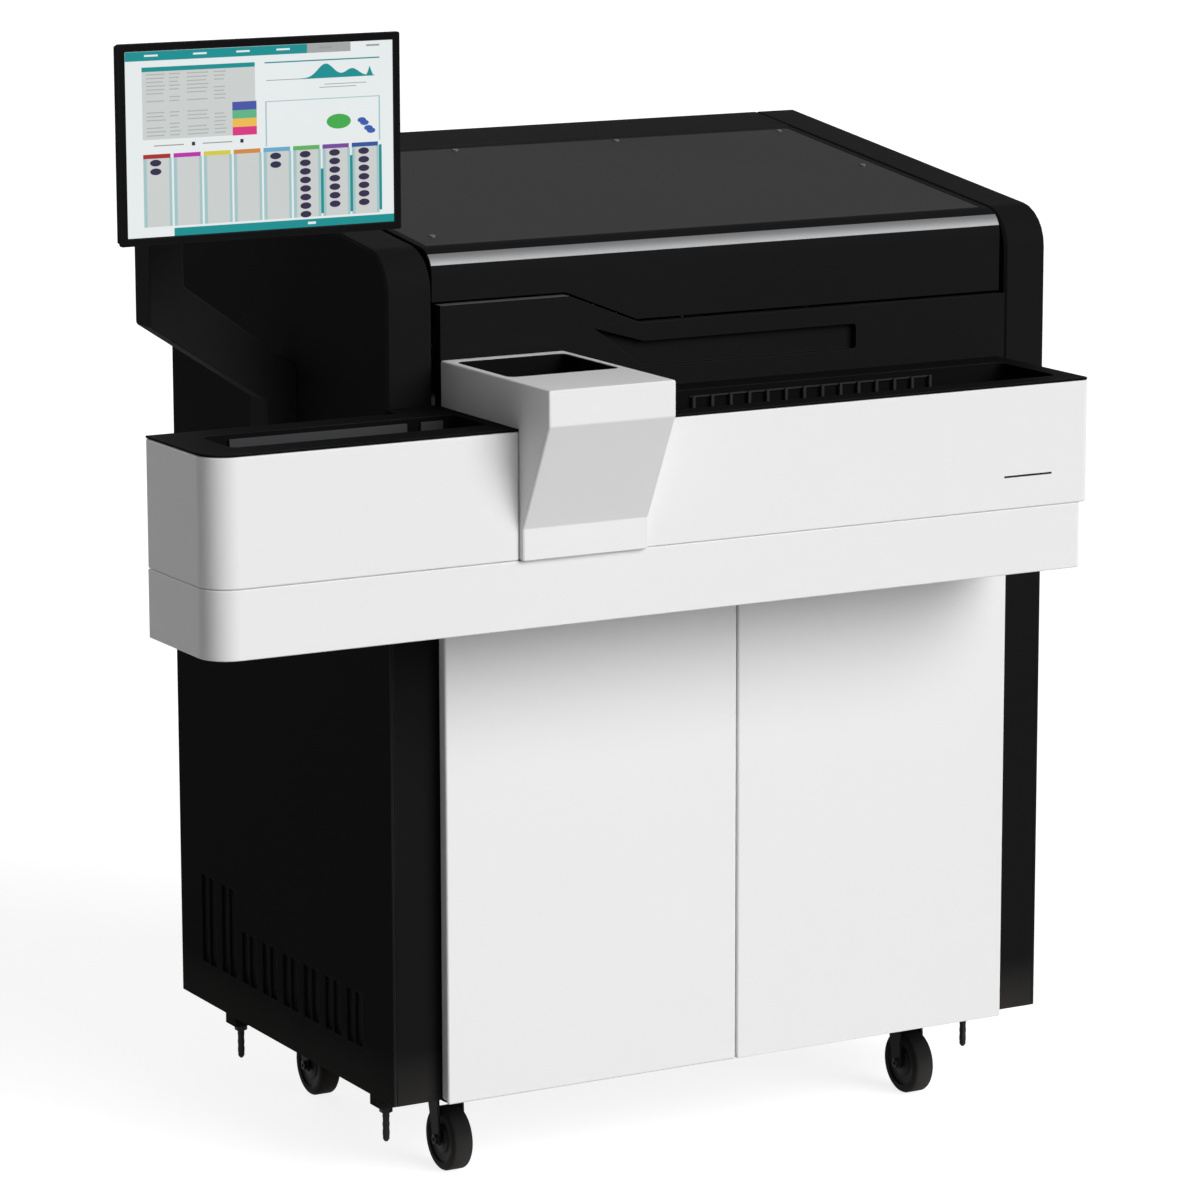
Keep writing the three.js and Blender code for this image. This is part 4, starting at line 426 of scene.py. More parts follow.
# Back fittings
# The back sheet is held by low socket-head screws. It carries a moulded mains inlet with three blades and
# three steel fluid ports, each with a coloured ring under its nut.
SCREW_RADIUS = 0.0034
SCREW_EDGE_INSET = 0.012
SCREW_ROWS = 4
BLADE_SIZE = (0.0012, 0.012, 0.004)
BLADE_PLACES = ((-0.007, -0.002), (0, 0.003), (0.007, -0.002))
BLADE_SINK = 0.003
INLET_EDGE = 0.0005
PORT_EDGE = 0.0004
PORT_PITCH = 0.038
RING_RADIUS = 0.0105
RING_WIDTH = 0.0044
RING_SETBACK = 0.0052
SMALL_EDGE = 0.0003
SQUARE_ON = 0.9
RING_SHADE = 0.8
RING_STEPS = [(0.0012, 0), (0.0003, -0.0010)]
SCREW_SHARES = {"height": 0.55, "rim": 0.22, "crown": 0.1, "socket": 0.46, "cutter": 1.05}
RING_COLOURS = {"blue": (0.02, 0.09, 0.36), "red": (0.42, 0.02, 0.015), "white": (0.7, 0.7, 0.7)}


def pick(piece, kind, rule):
    """Leaves the piece in edit mode with only those faces or edges selected for which the rule holds."""
    enter("EDIT")
    bpy.ops.mesh.select_mode(type=kind)
    bpy.ops.mesh.select_all(action="DESELECT")
    enter("OBJECT")
    for element in piece.data.polygons if kind == "FACE" else piece.data.edges:
        element.select = rule(element)
    enter("EDIT")


def upward(face):
    """The rule for faces that look up."""
    return face.normal.z > SQUARE_ON


def step_faces(piece, rule, steps):
    """Insets the faces that the rule picks and pushes them along their normals, step by step."""
    pick(piece, "FACE", rule)
    for inset, push in steps:
        bpy.ops.mesh.inset(thickness=inset, depth=push)
    enter("OBJECT")


def soften(piece, radius, segments=2, corner=40, smooth=38):
    """Rounds the sharp edges of a modelled piece and shades it smooth."""
    bpy.context.view_layer.objects.active = piece
    add_bevel(piece, radius, segments, corner)
    bpy.ops.object.modifier_apply(modifier="Round edges")
    bpy.ops.object.shade_smooth_by_angle(angle=math.radians(smooth))
    return piece


def cut_away(piece, cutter):
    """Cuts the cutter's shape out of a piece and removes the cutter."""
    cut = piece.modifiers.new("Cut", "BOOLEAN")
    cut.object = cutter
    cut.operation = "DIFFERENCE"
    cut.solver = "EXACT"
    bpy.context.view_layer.objects.active = piece
    bpy.ops.object.modifier_apply(modifier="Cut")
    bpy.data.objects.remove(cutter)


def model_screw(radius):
    """A low round head with a hexagon socket, standing on the origin with its top upwards."""
    height = radius * SCREW_SHARES["height"]
    head = add_rod(radius, height, (0, 0, height / 2), sides=24)
    step_faces(head, upward, [(radius * SCREW_SHARES["rim"], radius * SCREW_SHARES["crown"])])
    cut_away(head, add_rod(radius * SCREW_SHARES["socket"], height, (0, 0, height * SCREW_SHARES["cutter"]),
                           sides=6))
    bpy.ops.object.shade_smooth_by_angle(angle=math.radians(30))
    return head


def join_pieces(parts):
    """Joins several objects into the first one."""
    bpy.ops.object.select_all(action="DESELECT")
    for part in parts:
        part.select_set(True)
    bpy.context.view_layer.objects.active = parts[0]
    if len(parts) > 1:
        bpy.ops.object.join()
    return parts[0]


def copy_by(pattern, moves):
    """Copies a pattern by each move, removes it and joins the copies."""
    copies = []
    for move in moves:
        copy = pattern.copy()
        copy.data = pattern.data.copy()
        copy.data.transform(move)
        bpy.context.collection.objects.link(copy)
        copies.append(copy)
    bpy.data.objects.remove(pattern)
    return join_pieces(copies)


def set_out(pattern, name, places, material, body, facing=(0, 0, 1)):
    """Copies a pattern to each place with its top turned to the given side."""
    turned = Vector(facing).to_track_quat("Z", "Y").to_matrix().to_4x4()
    copies = copy_by(pattern, [Matrix.Translation(place) @ turned for place in places])
    return hand_over(copies, name, material, body)


def place_of(node):
    """A frame piece's low corner, high corner and middle."""
    low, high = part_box(node)
    return low, high, (low + high) / 2


black_screw = finish("Black screw steel", (0.012, 0.012, 0.0125), (0.02, 0.02, 0.0205), 0.4, 0.08, 0.1,
                     grain=3000, specular=0.05)
columns = (back_low.x + SCREW_EDGE_INSET, (back_low.x + back_high.x) / 2, back_high.x - SCREW_EDGE_INSET)
rise = (back_high.z - back_low.z - 2 * SCREW_EDGE_INSET) / (SCREW_ROWS - 1)
screw_places = [(x, back_high.y, back_low.z + SCREW_EDGE_INSET + rise * row)
                for x in columns for row in range(SCREW_ROWS)
                if x != columns[1] or row in (0, SCREW_ROWS - 1)]
set_out(model_screw(SCREW_RADIUS), "back_screws", screw_places, black_screw, "body", (0, 1, 0))

socket_plastic = finish("Inlet plastic", (0.010, 0.010, 0.011), (0.015, 0.015, 0.016), 0.38, 0.05, 0.1,
                        specular=0.05, wear_and_highlight=EDGE_WEAR_AND_HIGHLIGHT)
rounded("power_inlet", socket_plastic, INLET_EDGE)
steel = finish("Turned steel", (0.46, 0.465, 0.47), (0.38, 0.385, 0.39), 0.3, 0.08, 0.1, grain=2600,
               metallic=1.0)
_, inlet_high, inlet_mid = place_of("power_inlet")
blades = []
for across, up in BLADE_PLACES:
    width, depth, height = BLADE_SIZE
    corner = inlet_mid + Vector((across - width / 2, 0, up - height / 2))
    corner.y = inlet_high.y - BLADE_SINK - depth
    blades.append(soften(add_block(corner, corner + Vector(BLADE_SIZE)), SMALL_EDGE))
hand_over(join_pieces(blades), "inlet_blades", steel, "body")

port_steel = finish("Brushed port steel", (0.20, 0.202, 0.205), (0.16, 0.162, 0.165), 0.42, 0.08, 0.2,
                    grain=2600, metallic=1.0)
rounded("fluid_ports", port_steel, PORT_EDGE)
ports_low, _, ports_mid = place_of("fluid_ports")
for column, (colour, paint) in enumerate(RING_COLOURS.items(), start=-1):
    ring_paint = finish(f"Ring {colour}", paint, tuple(part * RING_SHADE for part in paint), 0.4, 0.05, 0.1)
    centre = (ports_mid.x + column * PORT_PITCH, ports_low.y + RING_SETBACK, ports_mid.z)
    ring = add_rod(RING_RADIUS, RING_WIDTH, centre, along="Y", sides=40)
    step_faces(ring, lambda face: face.normal.y > SQUARE_ON, RING_STEPS)
    hand_over(soften(ring, SMALL_EDGE), f"port_ring_{colour}", ring_paint, "body")

# Doors
# Two folded steel doors in a smooth white coat, hung on pins in the front frame. The folds are tight, and
# the coat is slightly greyer along them.
DOOR_EDGE = 0.0016
WHITE_COAT = ((0.80, 0.80, 0.80), (0.775, 0.775, 0.776))
WORN_WHITE = (0.66, 0.66, 0.66)
SMOOTH_PER_METRE = 900
door_coat = finish("White door coat", *WHITE_COAT, 0.4, 0.05, 0.1, grain=SMOOTH_PER_METRE,
                   clouds=3, specular=0.3, wear_and_highlight=WORN_WHITE, wear_and_highlight_share=0.3)
for node in ("left_door", "right_door"):
    rounded(node, door_coat, DOOR_EDGE, segments=3)

# Belt covers and sample pod
# Moulded white covers of the sample belt: an upper and a lower row with a seam between them, and the pod
# that leans out over the belt. The plastic has a very fine spark-eroded texture.
COVER_EDGE = 0.0018
cover_plastic = finish("White cover plastic", *WHITE_COAT, 0.46, 0.05, 0.14,
                       grain=SMOOTH_PER_METRE, clouds=2.5, specular=0.28, wear_and_highlight=WORN_WHITE, wear_and_highlight_share=0.25)
for node in ("lower_belt", "upper_belt_left", "upper_belt_right"):
    rounded(node, cover_plastic, COVER_EDGE, segments=3)
rounded("sample_pod", cover_plastic, COVER_EDGE, corner=12, smooth=16)

# Accent line
# A short dark line printed near the right end of the belt's front, a hair thicker than the plastic.
LINE_RIGHT = 0.048
LINE_LENGTH = 0.062
LINE_DROP = 0.098
LINE_HEIGHT = 0.0022
LINE_PROUD = 0.00012
LINE_EDGE = 0.00005
belt_low, belt_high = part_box("upper_belt_right")
line_end = Vector((belt_high.x - LINE_RIGHT, belt_low.y, belt_high.z - LINE_DROP))
line_start = line_end - Vector((LINE_LENGTH, LINE_PROUD, LINE_HEIGHT))
line = add_block(line_start, line_end + Vector((0, LINE_PROUD, 0)))
ink = finish("Dark ink", (0.014, 0.014, 0.016), (0.018, 0.018, 0.02), 0.5, 0.05, 0.05, specular=0.1)
hand_over(soften(line, LINE_EDGE, segments=1), "accent_line", ink, "body")

# Trays, port, rail and comb
# Black moulded trays close the belt's top; the rack channels are sunk into them. A dark grey rail stands
# along the back of the left channel, and a comb of guide bars hangs along the back of the right one.
TRAY_EDGE = 0.0008
GUIDE_EDGE = 0.0004
TRAY_BLACK = ((0.0048, 0.0048, 0.0050), (0.0066, 0.0066, 0.0068))
GUIDE_GREY = ((0.052, 0.053, 0.055), (0.044, 0.045, 0.047))
COMB_GREY = ((0.029, 0.0295, 0.0305), (0.025, 0.0255, 0.0265))
tray_plastic = finish("Black tray plastic", *TRAY_BLACK, 0.66, 0.06, 0.16,
                      specular=BLACK_GLOSS, wear_and_highlight=EDGE_WEAR_AND_HIGHLIGHT, wear_and_highlight_share=0.7)
for node in ("left_tray", "right_tray", "pod_well"):
    rounded(node, tray_plastic, TRAY_EDGE)
for node, greys in (("rack_rail", GUIDE_GREY), ("tube_comb", COMB_GREY)):
    guide_plastic = finish(node.replace("_", " ").capitalize() + " plastic", *greys, 0.6, 0.06, 0.12,
                           specular=0.02)
    rounded(node, guide_plastic, GUIDE_EDGE)

# Upper body
# Two moulded arches with round noses, the hood behind the lid and the fascia below it, all in a fine
# textured black plastic. A thin grey band along the fascia's top edge, where the lid comes down, is a
# painted highlight for the light that this edge catches.
ARCH_EDGE = 0.0014
MOULD_BLACK = ((0.0093, 0.0093, 0.0095), (0.0109, 0.0109, 0.0111))
EDGE_HIGHLIGHT_HEIGHT = 0.0022


def refinish(piece, material, rule):
    """Gives the faces for which the rule holds a finish of their own."""
    piece.data.materials.append(material)
    last = len(piece.data.materials) - 1
    for face in piece.data.polygons:
        if rule(face):
            face.material_index = last


moulding = finish("Black moulding", *MOULD_BLACK, 0.66, 0.05, 0.2, specular=BLACK_GLOSS,
                  wear_and_highlight=EDGE_WEAR_AND_HIGHLIGHT, wear_and_highlight_share=0.45)
for node in ("left_arch", "right_arch", "rear_hood"):
    rounded(node, moulding, ARCH_EDGE)
fascia = rounded("front_fascia", moulding, ARCH_EDGE, segments=3)
# Painted highlight: a grey band on the fascia's top faces for the light that this edge catches.
fascia_edge_highlight = finish("Painted edge highlight", (0.10, 0.10, 0.102), (0.08, 0.08, 0.082), 0.8, 0.05, 0.3, specular=0.02)
fascia_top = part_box("front_fascia")[1].z
refinish(fascia, fascia_edge_highlight, lambda face: face.center.z > fascia_top - EDGE_HIGHLIGHT_HEIGHT)

# Lid
# A black lid frame on two side pins carries a dark grey panel, held by five low screws. A light metal
# strip in its round nose is a painted highlight: it stands in for the reflection that the glossy nose
# catches.
LID_EDGE = 0.0009
STRIP_EDGE = 0.0003
PANEL_GREY = ((0.057, 0.057, 0.058), (0.050, 0.050, 0.051))
LID_SCREW_RADIUS = 0.0030
LID_SCREW_SHARES = ((0.352, 0.97), (0.655, 0.97), (0.972, 0.97), (0.972, 0.52), (0.036, 0.082))
rounded("lid_frame", moulding, LID_EDGE)
panel_gloss = finish("Grey panel", *PANEL_GREY, 0.62, 0.06, 0.03, clouds=3, specular=0.002)
lid_panel = rounded("lid_panel", panel_gloss, LID_EDGE)
# Painted highlight: the light metal strip stands in for the reflection on the lid's round nose.
nose_highlight_metal = finish("Painted nose highlight", (0.150, 0.152, 0.155), (0.132, 0.134, 0.137), 0.5, 0.05, 0.12,
                     grain=2400, metallic=1.0)
rounded("lid_trim", nose_highlight_metal, STRIP_EDGE)
panel_low, panel_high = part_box("lid_panel")
upper = max(lid_panel.data.polygons, key=lambda face: face.area if face.normal.z > 0.5 else 0)
lid_normal = upper.normal.copy()


def on_panel(across, back):
    """A point on the lid panel's upper face, by its share of the width and of the depth."""
    x = panel_low.x + (panel_high.x - panel_low.x) * across
    y = panel_low.y + (panel_high.y - panel_low.y) * back
    fall = (x - upper.center.x) * lid_normal.x + (y - upper.center.y) * lid_normal.y
    return Vector((x, y, upper.center.z - fall / lid_normal.z))


lid_screw_steel = finish("Lid screw steel", (0.15, 0.15, 0.152), (0.12, 0.12, 0.122), 0.4, 0.05, 0.1,
                         grain=3000, specular=0.1)
set_out(model_screw(LID_SCREW_RADIUS), "lid_screws", [on_panel(*share) for share in LID_SCREW_SHARES],
        lid_screw_steel, "lid", lid_normal)

# Work deck
# A light grey moulded tray under the lid. Its outer walls below the rim take the black moulding finish as
# painted shade, so the gaps beside the arches stay dark. Its bosses guide the columns, and two turned
# aluminium bowls hang in it by their flanges, with fine turning marks round their centres.
DECK_GREY = ((0.52, 0.535, 0.55), (0.47, 0.485, 0.5))
BOWL_METAL = ((0.36, 0.365, 0.37), (0.3, 0.305, 0.31))
TURNING_PER_METRE = 900
DECK_EDGE = 0.0012
DECK_OUTSIDE = 0.0015
DECK_SHADE_DROP = 0.02
BOWL_EDGE = 0.0006


def turning_marks(tree, centre):
    """Fine rings about an upright axis through the centre, as a height for the bump."""
    place = add_node(tree, "TexCoord").outputs["Object"]
    shift = add_node(tree, "Mapping", Vector=place, Location=(-centre.x, -centre.y, 0), Scale=(1, 1, 0))
    reach = tree.nodes.new("ShaderNodeVectorMath")
    reach.operation = "LENGTH"
    tree.links.new(shift.outputs[0], reach.inputs[0])
    rings = tree.nodes.new("ShaderNodeTexNoise")
    rings.noise_dimensions = "1D"
    return feed(tree, rings, W=reach.outputs["Value"], Scale=TURNING_PER_METRE).outputs[0]


deck_plastic = finish("Light grey deck", *DECK_GREY, 0.45, 0.05, 0.15, wear_and_highlight=(0.62, 0.63, 0.64),
                      wear_and_highlight_share=0.4)
deck = rounded("work_deck", deck_plastic, DECK_EDGE)
deck_low, deck_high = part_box("work_deck")
# Painted shade: the outer walls below the rim take the black moulding so the gaps beside them stay dark.
refinish(deck, moulding, lambda face: face.center.z < deck_high.z - DECK_SHADE_DROP and (
    face.center.y < deck_low.y + DECK_OUTSIDE or face.center.x > deck_high.x - DECK_OUTSIDE
    or face.center.x < deck_low.x + DECK_OUTSIDE))
for node in ("reagent_bowl", "reaction_bowl"):
    middle = place_of(node)[2]
    bowl_metal = finish("Turned " + node.replace("_", " "), *BOWL_METAL, 0.36, 0.06, 0.12,
                        grain=2400, metallic=1.0)
    tree = bowl_metal.node_tree
    tree.links.new(turning_marks(tree, middle), tree.nodes["Bump"].inputs["Height"])
    rounded(node, bowl_metal, BOWL_EDGE, smooth=30)

# Reagent carousel
# A grey disc with a round hub carries twenty white wedge bottles with ribbed screw caps and bare labels.
# The bottles stand loose in it; the disc turns on the bowl's spindle.
BOTTLE_COUNT = 20
DISC_THICKNESS = 0.008
BOTTLE_EDGE_GAP = 0.008
BOTTLE_LENGTH = 0.062
BOTTLE_HEIGHT = 0.052
BOTTLE_SPACING = 0.004
CAP_RADIUS = 0.009
CAP_HEIGHT = 0.0068
CAP_RIBS = 30
CAP_RIB_DEPTH = 0.05
RIM_SHARE = 0.98
LABEL_LENGTH = 0.026
LABEL_GAP = 0.003
LABEL_SHARE = 0.6
LABEL_THICKNESS = 0.0010
LABEL_EDGE = 0.0002
HUB_RADIUS = 0.022
DISC_EDGE = 0.0006
BOTTLE_EDGE = 0.0016
BOTTLE_STEPS = [(0.0008, 0.0008)]
CAP_STEPS = [(0.0011, 0), (0.0005, -0.0008)]
STEP_SLOPE = 0.0006


def model_bottle(inner, outer, foot):
    """A wedge bottle that narrows towards the hub, its foot at the given height and its length along X."""
    half = outer * math.tan(math.pi / BOTTLE_COUNT) - BOTTLE_SPACING / 2
    narrow = inner * math.tan(math.pi / BOTTLE_COUNT) - BOTTLE_SPACING / 2
    top = foot + BOTTLE_HEIGHT - BOTTLE_SPACING
    bottle = add_block((inner, -half, foot), (outer, half, top))
    pick(bottle, "FACE", lambda face: face.normal.x < -SQUARE_ON)
    bpy.ops.transform.resize(value=(1, narrow / half, 1))
    enter("OBJECT")
    step_faces(bottle, upward, BOTTLE_STEPS)
    return soften(bottle, BOTTLE_EDGE, segments=3, corner=30)


def rib_rim(piece, centre, radius, ribs, depth):
    """Draws every second corner of a round piece's rim inwards by a share of the radius."""
    for vertex in piece.data.vertices:
        away = Vector((vertex.co.x - centre.x, vertex.co.y - centre.y))
        sector = round((math.atan2(away.y, away.x) % (2 * math.pi)) / (math.pi / ribs))
        if sector % 2 and away.length > radius * RIM_SHARE:
            vertex.co.x -= away.x * depth
            vertex.co.y -= away.y * depth
    bpy.ops.object.shade_smooth_by_angle(angle=math.radians(20))


def model_cap(x, foot):
    """A screw cap with a ribbed rim and a dished top."""
    cap = add_rod(CAP_RADIUS, CAP_HEIGHT, (x, 0, foot + CAP_HEIGHT / 2), sides=2 * CAP_RIBS)
    step_faces(cap, upward, CAP_STEPS)
    rib_rim(cap, Vector((x, 0)), CAP_RADIUS, CAP_RIBS, CAP_RIB_DEPTH)
    return cap


def turns_about(centre, count):
    """Equal turns about an upright axis through the centre."""
    shift = Matrix.Translation((centre.x, centre.y, 0))
    return [shift @ Matrix.Rotation(2 * math.pi * number / count, 4, "Z") for number in range(count)]


bottle_white = finish("Bottle plastic", (0.72, 0.735, 0.73), (0.66, 0.675, 0.67), 0.36, 0.05, 0.08)
cap_blue = finish("Blue cap plastic", (0.03, 0.12, 0.36), (0.025, 0.1, 0.32), 0.38, 0.05, 0.1)
label_paper = finish("Label paper", (0.62, 0.66, 0.64), (0.58, 0.62, 0.6), 0.6, 0.05, 0.15, grain=2600)
disc_grey = finish("Disc coat", (0.12, 0.123, 0.128), (0.1, 0.103, 0.108), 0.4, 0.06, 0.12)
disc_low, disc_high, carousel_centre = place_of("reagent_carousel")
disc_radius = (disc_high.x - disc_low.x) / 2
bottle_outer = disc_radius - BOTTLE_EDGE_GAP
bottle_inner = bottle_outer - BOTTLE_LENGTH
middle = (carousel_centre.x, carousel_centre.y, disc_low.z + DISC_THICKNESS / 2)
disc = add_rod(disc_radius, DISC_THICKNESS, middle, sides=96)
# From the rim inwards: the sunk track of the bottles, the flat, and the hub with its dished top
step_faces(disc, upward, [
    (0.004, 0), (STEP_SLOPE, -0.0016), (BOTTLE_LENGTH + 0.006, 0), (STEP_SLOPE, 0.0016),
    (bottle_inner - HUB_RADIUS - 0.008, 0), (0.003, 0.014), (0.002, 0.003), (0.006, 0), (STEP_SLOPE, -0.002),
])
hand_over(soften(disc, DISC_EDGE), "carousel_disc", disc_grey, "reagent_carousel")
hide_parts("reagent_carousel")
bottle_foot = disc_low.z + DISC_THICKNESS / 2
bottle = model_bottle(bottle_inner, bottle_outer, bottle_foot)
shoulder = bottle_foot + BOTTLE_HEIGHT - BOTTLE_SPACING
cap_x = bottle_outer - CAP_RADIUS - BOTTLE_SPACING
cap = model_cap(cap_x, shoulder)
label_half = bottle_inner * math.tan(math.pi / BOTTLE_COUNT) * LABEL_SHARE
label_end = cap_x - CAP_RADIUS - LABEL_GAP
label = add_block((label_end - LABEL_LENGTH, -label_half, shoulder),
                  (label_end, label_half, shoulder + LABEL_THICKNESS))
soften(label, LABEL_EDGE, segments=1)
for part, material in ((bottle, bottle_white), (cap, cap_blue), (label, label_paper)):
    part.data.materials.append(material)
bottles = copy_by(join_pieces([bottle, cap, label]), turns_about(carousel_centre, BOTTLE_COUNT))
bottles.name = "reagent_bottles"
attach(bottles, "reagent_carousel")

# Reaction rotor
# A black anodised wheel whose rim holds forty clear cuvettes, open at the top. It turns on the spindle of
# the second bowl and is lifted off by the ribbed knob at its middle.
CUVETTE_COUNT = 40
CUVETTE_DEPTH = 0.012
CUVETTE_STEPS = [(0.0011, 0), (0.0001, -0.016)]
CUVETTE_GAP_SHARE = 0.34
RIM_WIDTH = 0.030
WEB_THICKNESS = 0.006
WEB_EDGE = 0.0005
CUVETTE_RISE = 0.022
KNOB_RIBS = 36
KNOB_RIB_DEPTH = 0.045
KNOB_SINK = 0.001
KNOB_STEPS = [(0.003, 0), (0.0008, -0.0016), (0.009, 0), (0.001, 0.0012)]
anodised = finish("Black anodised", (0.016, 0.016, 0.017), (0.022, 0.022, 0.024), 0.4, 0.06, 0.12,
                  specular=0.1, wear_and_highlight=(0.3, 0.3, 0.3), wear_and_highlight_share=0.3)
cuvette_clear = finish("Cuvette plastic", (0.74, 0.86, 0.92), (0.68, 0.81, 0.88), 0.12, 0.03, 0.03,
                       transmission=0.55)
rotor_low, rotor_high, rotor_centre = place_of("reaction_rotor")
rotor_radius = (rotor_high.x - rotor_low.x) / 2
web = add_rod(rotor_radius, WEB_THICKNESS, (rotor_centre.x, rotor_centre.y, rotor_low.z + WEB_THICKNESS / 2),
              sides=96)
# From the rim inwards: the sunk track of the cuvettes, the flat, and a groove round the hub
step_faces(web, upward, [
    (0.004, 0), (STEP_SLOPE, -0.0012), (RIM_WIDTH - 0.008, 0), (STEP_SLOPE, 0.0012), (0.06, 0),
    (STEP_SLOPE, -0.001), (0.010, 0), (STEP_SLOPE, 0.001), (0.006, 0),
])
hand_over(soften(web, WEB_EDGE), "rotor_wheel", anodised, "reaction_rotor")
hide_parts("reaction_rotor")
knob_top = rotor_high.z
knob_foot = rotor_low.z + WEB_THICKNESS - KNOB_SINK
knob = add_rod(HUB_RADIUS, knob_top - knob_foot, (rotor_centre.x, rotor_centre.y, (knob_top + knob_foot) / 2),
               sides=2 * KNOB_RIBS)
step_faces(knob, upward, KNOB_STEPS)
rib_rim(knob, rotor_centre, HUB_RADIUS, KNOB_RIBS, KNOB_RIB_DEPTH)
hand_over(knob, "rotor_knob", steel, "reaction_rotor")
ring_inner = rotor_radius - RIM_WIDTH
half = math.pi * ring_inner / CUVETTE_COUNT * (1 - CUVETTE_GAP_SHARE)
ring_middle = rotor_radius - RIM_WIDTH / 2
cuvette = add_block((ring_middle - CUVETTE_DEPTH / 2, -half, rotor_low.z + WEB_THICKNESS / 2),
                    (ring_middle + CUVETTE_DEPTH / 2, half, rotor_low.z + CUVETTE_RISE))
step_faces(cuvette, upward, CUVETTE_STEPS)
soften(cuvette, SMALL_EDGE, segments=1)
cuvettes = copy_by(cuvette, turns_about(rotor_centre, CUVETTE_COUNT))
hand_over(cuvettes, "cuvettes", cuvette_clear, "reaction_rotor")

# Swinging columns
# Three ground steel columns rise from the deck's bosses. Two carry moulded arms with steel needles, the
# third an arm with a stirring paddle.
SHAFT_EDGE = 0.0006
ARM_EDGE = 0.0008
ARM_HEIGHT = 0.0206
column_steel = finish("Ground steel", (0.5, 0.505, 0.51), (0.43, 0.435, 0.44), 0.24, 0.05, 0.08, grain=3200,
                      metallic=1.0)
for name in ("reagent_probe", "sample_probe", "stirrer"):
    rounded(name + "_shaft", column_steel, SHAFT_EDGE)
    arm = rounded(name + "_arm", cover_plastic, ARM_EDGE)
    arm_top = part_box(name + "_arm")[1].z
    refinish(arm, steel, lambda face: face.center.z < arm_top - ARM_HEIGHT)

# Wash station and lamp
# A moulded column behind the rotor whose head holds four steel nozzles over the cuvettes, and a black
# anodised lamp housing with cooling fins in the deck's front corner. Both stand on the deck.
WASH_EDGE = 0.0008
WASH_HEAD_HEIGHT = 0.0162
WASH_COLUMN_DEPTH = 0.04
LAMP_EDGE = 0.0006
wash = rounded("wash_station", deck_plastic, WASH_EDGE)
wash_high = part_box("wash_station")[1]
refinish(wash, steel, lambda face: face.center.z < wash_high.z - WASH_HEAD_HEIGHT
         and face.center.y < wash_high.y - WASH_COLUMN_DEPTH)
rounded("lamp_housing", anodised, LAMP_EDGE)

# Tanks
# Two milky blow-moulded tanks stand on the chassis, blue cap for water and red cap for waste. The liquid
# shows through the wall as a darker part below its level; a bare label sits on the front.
TANK_WALL = ((0.62, 0.65, 0.62), (0.56, 0.59, 0.56))
TANK_LABEL = (0.110, 0.075)
TANK_LABEL_RISE = 0.12
CAP_SETBACK = 0.200
CAP_REACH = 0.0292
CAP_BAND = 0.0202
TANK_EDGE = 0.0012
STICKER_THICKNESS = 0.0006
SURFACE_BLUR = 0.0015
LIQUID_TINT = 0.7


def tank_finish(name, liquid, level):
    """A milky plastic that is tinted by the liquid below its level, with a soft line at the surface."""
    material = finish(name, *TANK_WALL, 0.42, 0.06, 0.12, grain=900, transmission=0.12)
    tree = material.node_tree
    below = add_node(tree, "MapRange", Value=own_height(tree), From_Min=level + SURFACE_BLUR,
                     From_Max=level - SURFACE_BLUR, To_Max=LIQUID_TINT)
    base = tree.nodes["Principled BSDF"].inputs["Base Color"]
    wall = base.links[0].from_socket
    tree.links.new(mix_colour(tree, below.outputs["Result"], wall, liquid), base)
    return material


red_cap = finish("Red cap plastic", (0.40, 0.03, 0.022), (0.34, 0.025, 0.02), 0.38, 0.05, 0.1)
for node, liquid, level, cap_material in (
    ("water_tank", (0.46, 0.56, 0.60), 0.29, cap_blue),
    ("waste_tank", (0.52, 0.50, 0.40), 0.19, red_cap),
):
    low, high, centre = place_of(node)
    tank_plastic = tank_finish(node.replace("_", " ").capitalize() + " plastic", liquid, level)
    tank = rounded(node, tank_plastic, TANK_EDGE, segments=3)
    axis = Vector((centre.x, low.y + CAP_SETBACK))
    refinish(tank, cap_material, lambda face: face.center.z > high.z - CAP_BAND
             and (face.center.xy - axis).length < CAP_REACH)
    width, height = TANK_LABEL
    corner = Vector((centre.x - width / 2, low.y - STICKER_THICKNESS / 2,
                     low.z + TANK_LABEL_RISE - height / 2))
    label = add_block(corner, corner + Vector((width, STICKER_THICKNESS, height)))
    hand_over(soften(label, LABEL_EDGE, segments=1), node + "_label", label_paper, "body")

# Electronics box
# A painted sheet metal box with a vented front. Three round steel connectors sit in a row low on its front,
# and four screws hold the cover.
CONNECTOR_RADIUS = 0.0085
CONNECTOR_LENGTH = 0.009
CONNECTOR_PITCH = 0.045
CONNECTOR_RISE = 0.075
CONNECTOR_SINK = 0.0005
CONNECTOR_STEPS = [(0.0012, 0), (0.0004, -0.005), (0.003, 0), (0.0004, 0.003)]
BOX_EDGE = 0.0010
BOX_SCREW_INSET = 0.010
box_paint = finish("Grey box paint", (0.30, 0.31, 0.32), (0.26, 0.27, 0.28), 0.45, 0.05, 0.2,
                   wear_and_highlight=(0.5, 0.5, 0.5), wear_and_highlight_share=0.4)
rounded("electronics_box", box_paint, BOX_EDGE)
box_low, box_high, box_middle = place_of("electronics_box")
connectors = []
for column in (-1, 0, 1):
    centre = (box_middle.x + column * CONNECTOR_PITCH, box_low.y - CONNECTOR_LENGTH / 2 + CONNECTOR_SINK,
              box_low.z + CONNECTOR_RISE)
    connector = add_rod(CONNECTOR_RADIUS, CONNECTOR_LENGTH, centre, along="Y", sides=36)
    step_faces(connector, lambda face: face.normal.y < -SQUARE_ON, CONNECTOR_STEPS)
    connectors.append(soften(connector, SMALL_EDGE))
hand_over(join_pieces(connectors), "box_connectors", steel, "body")
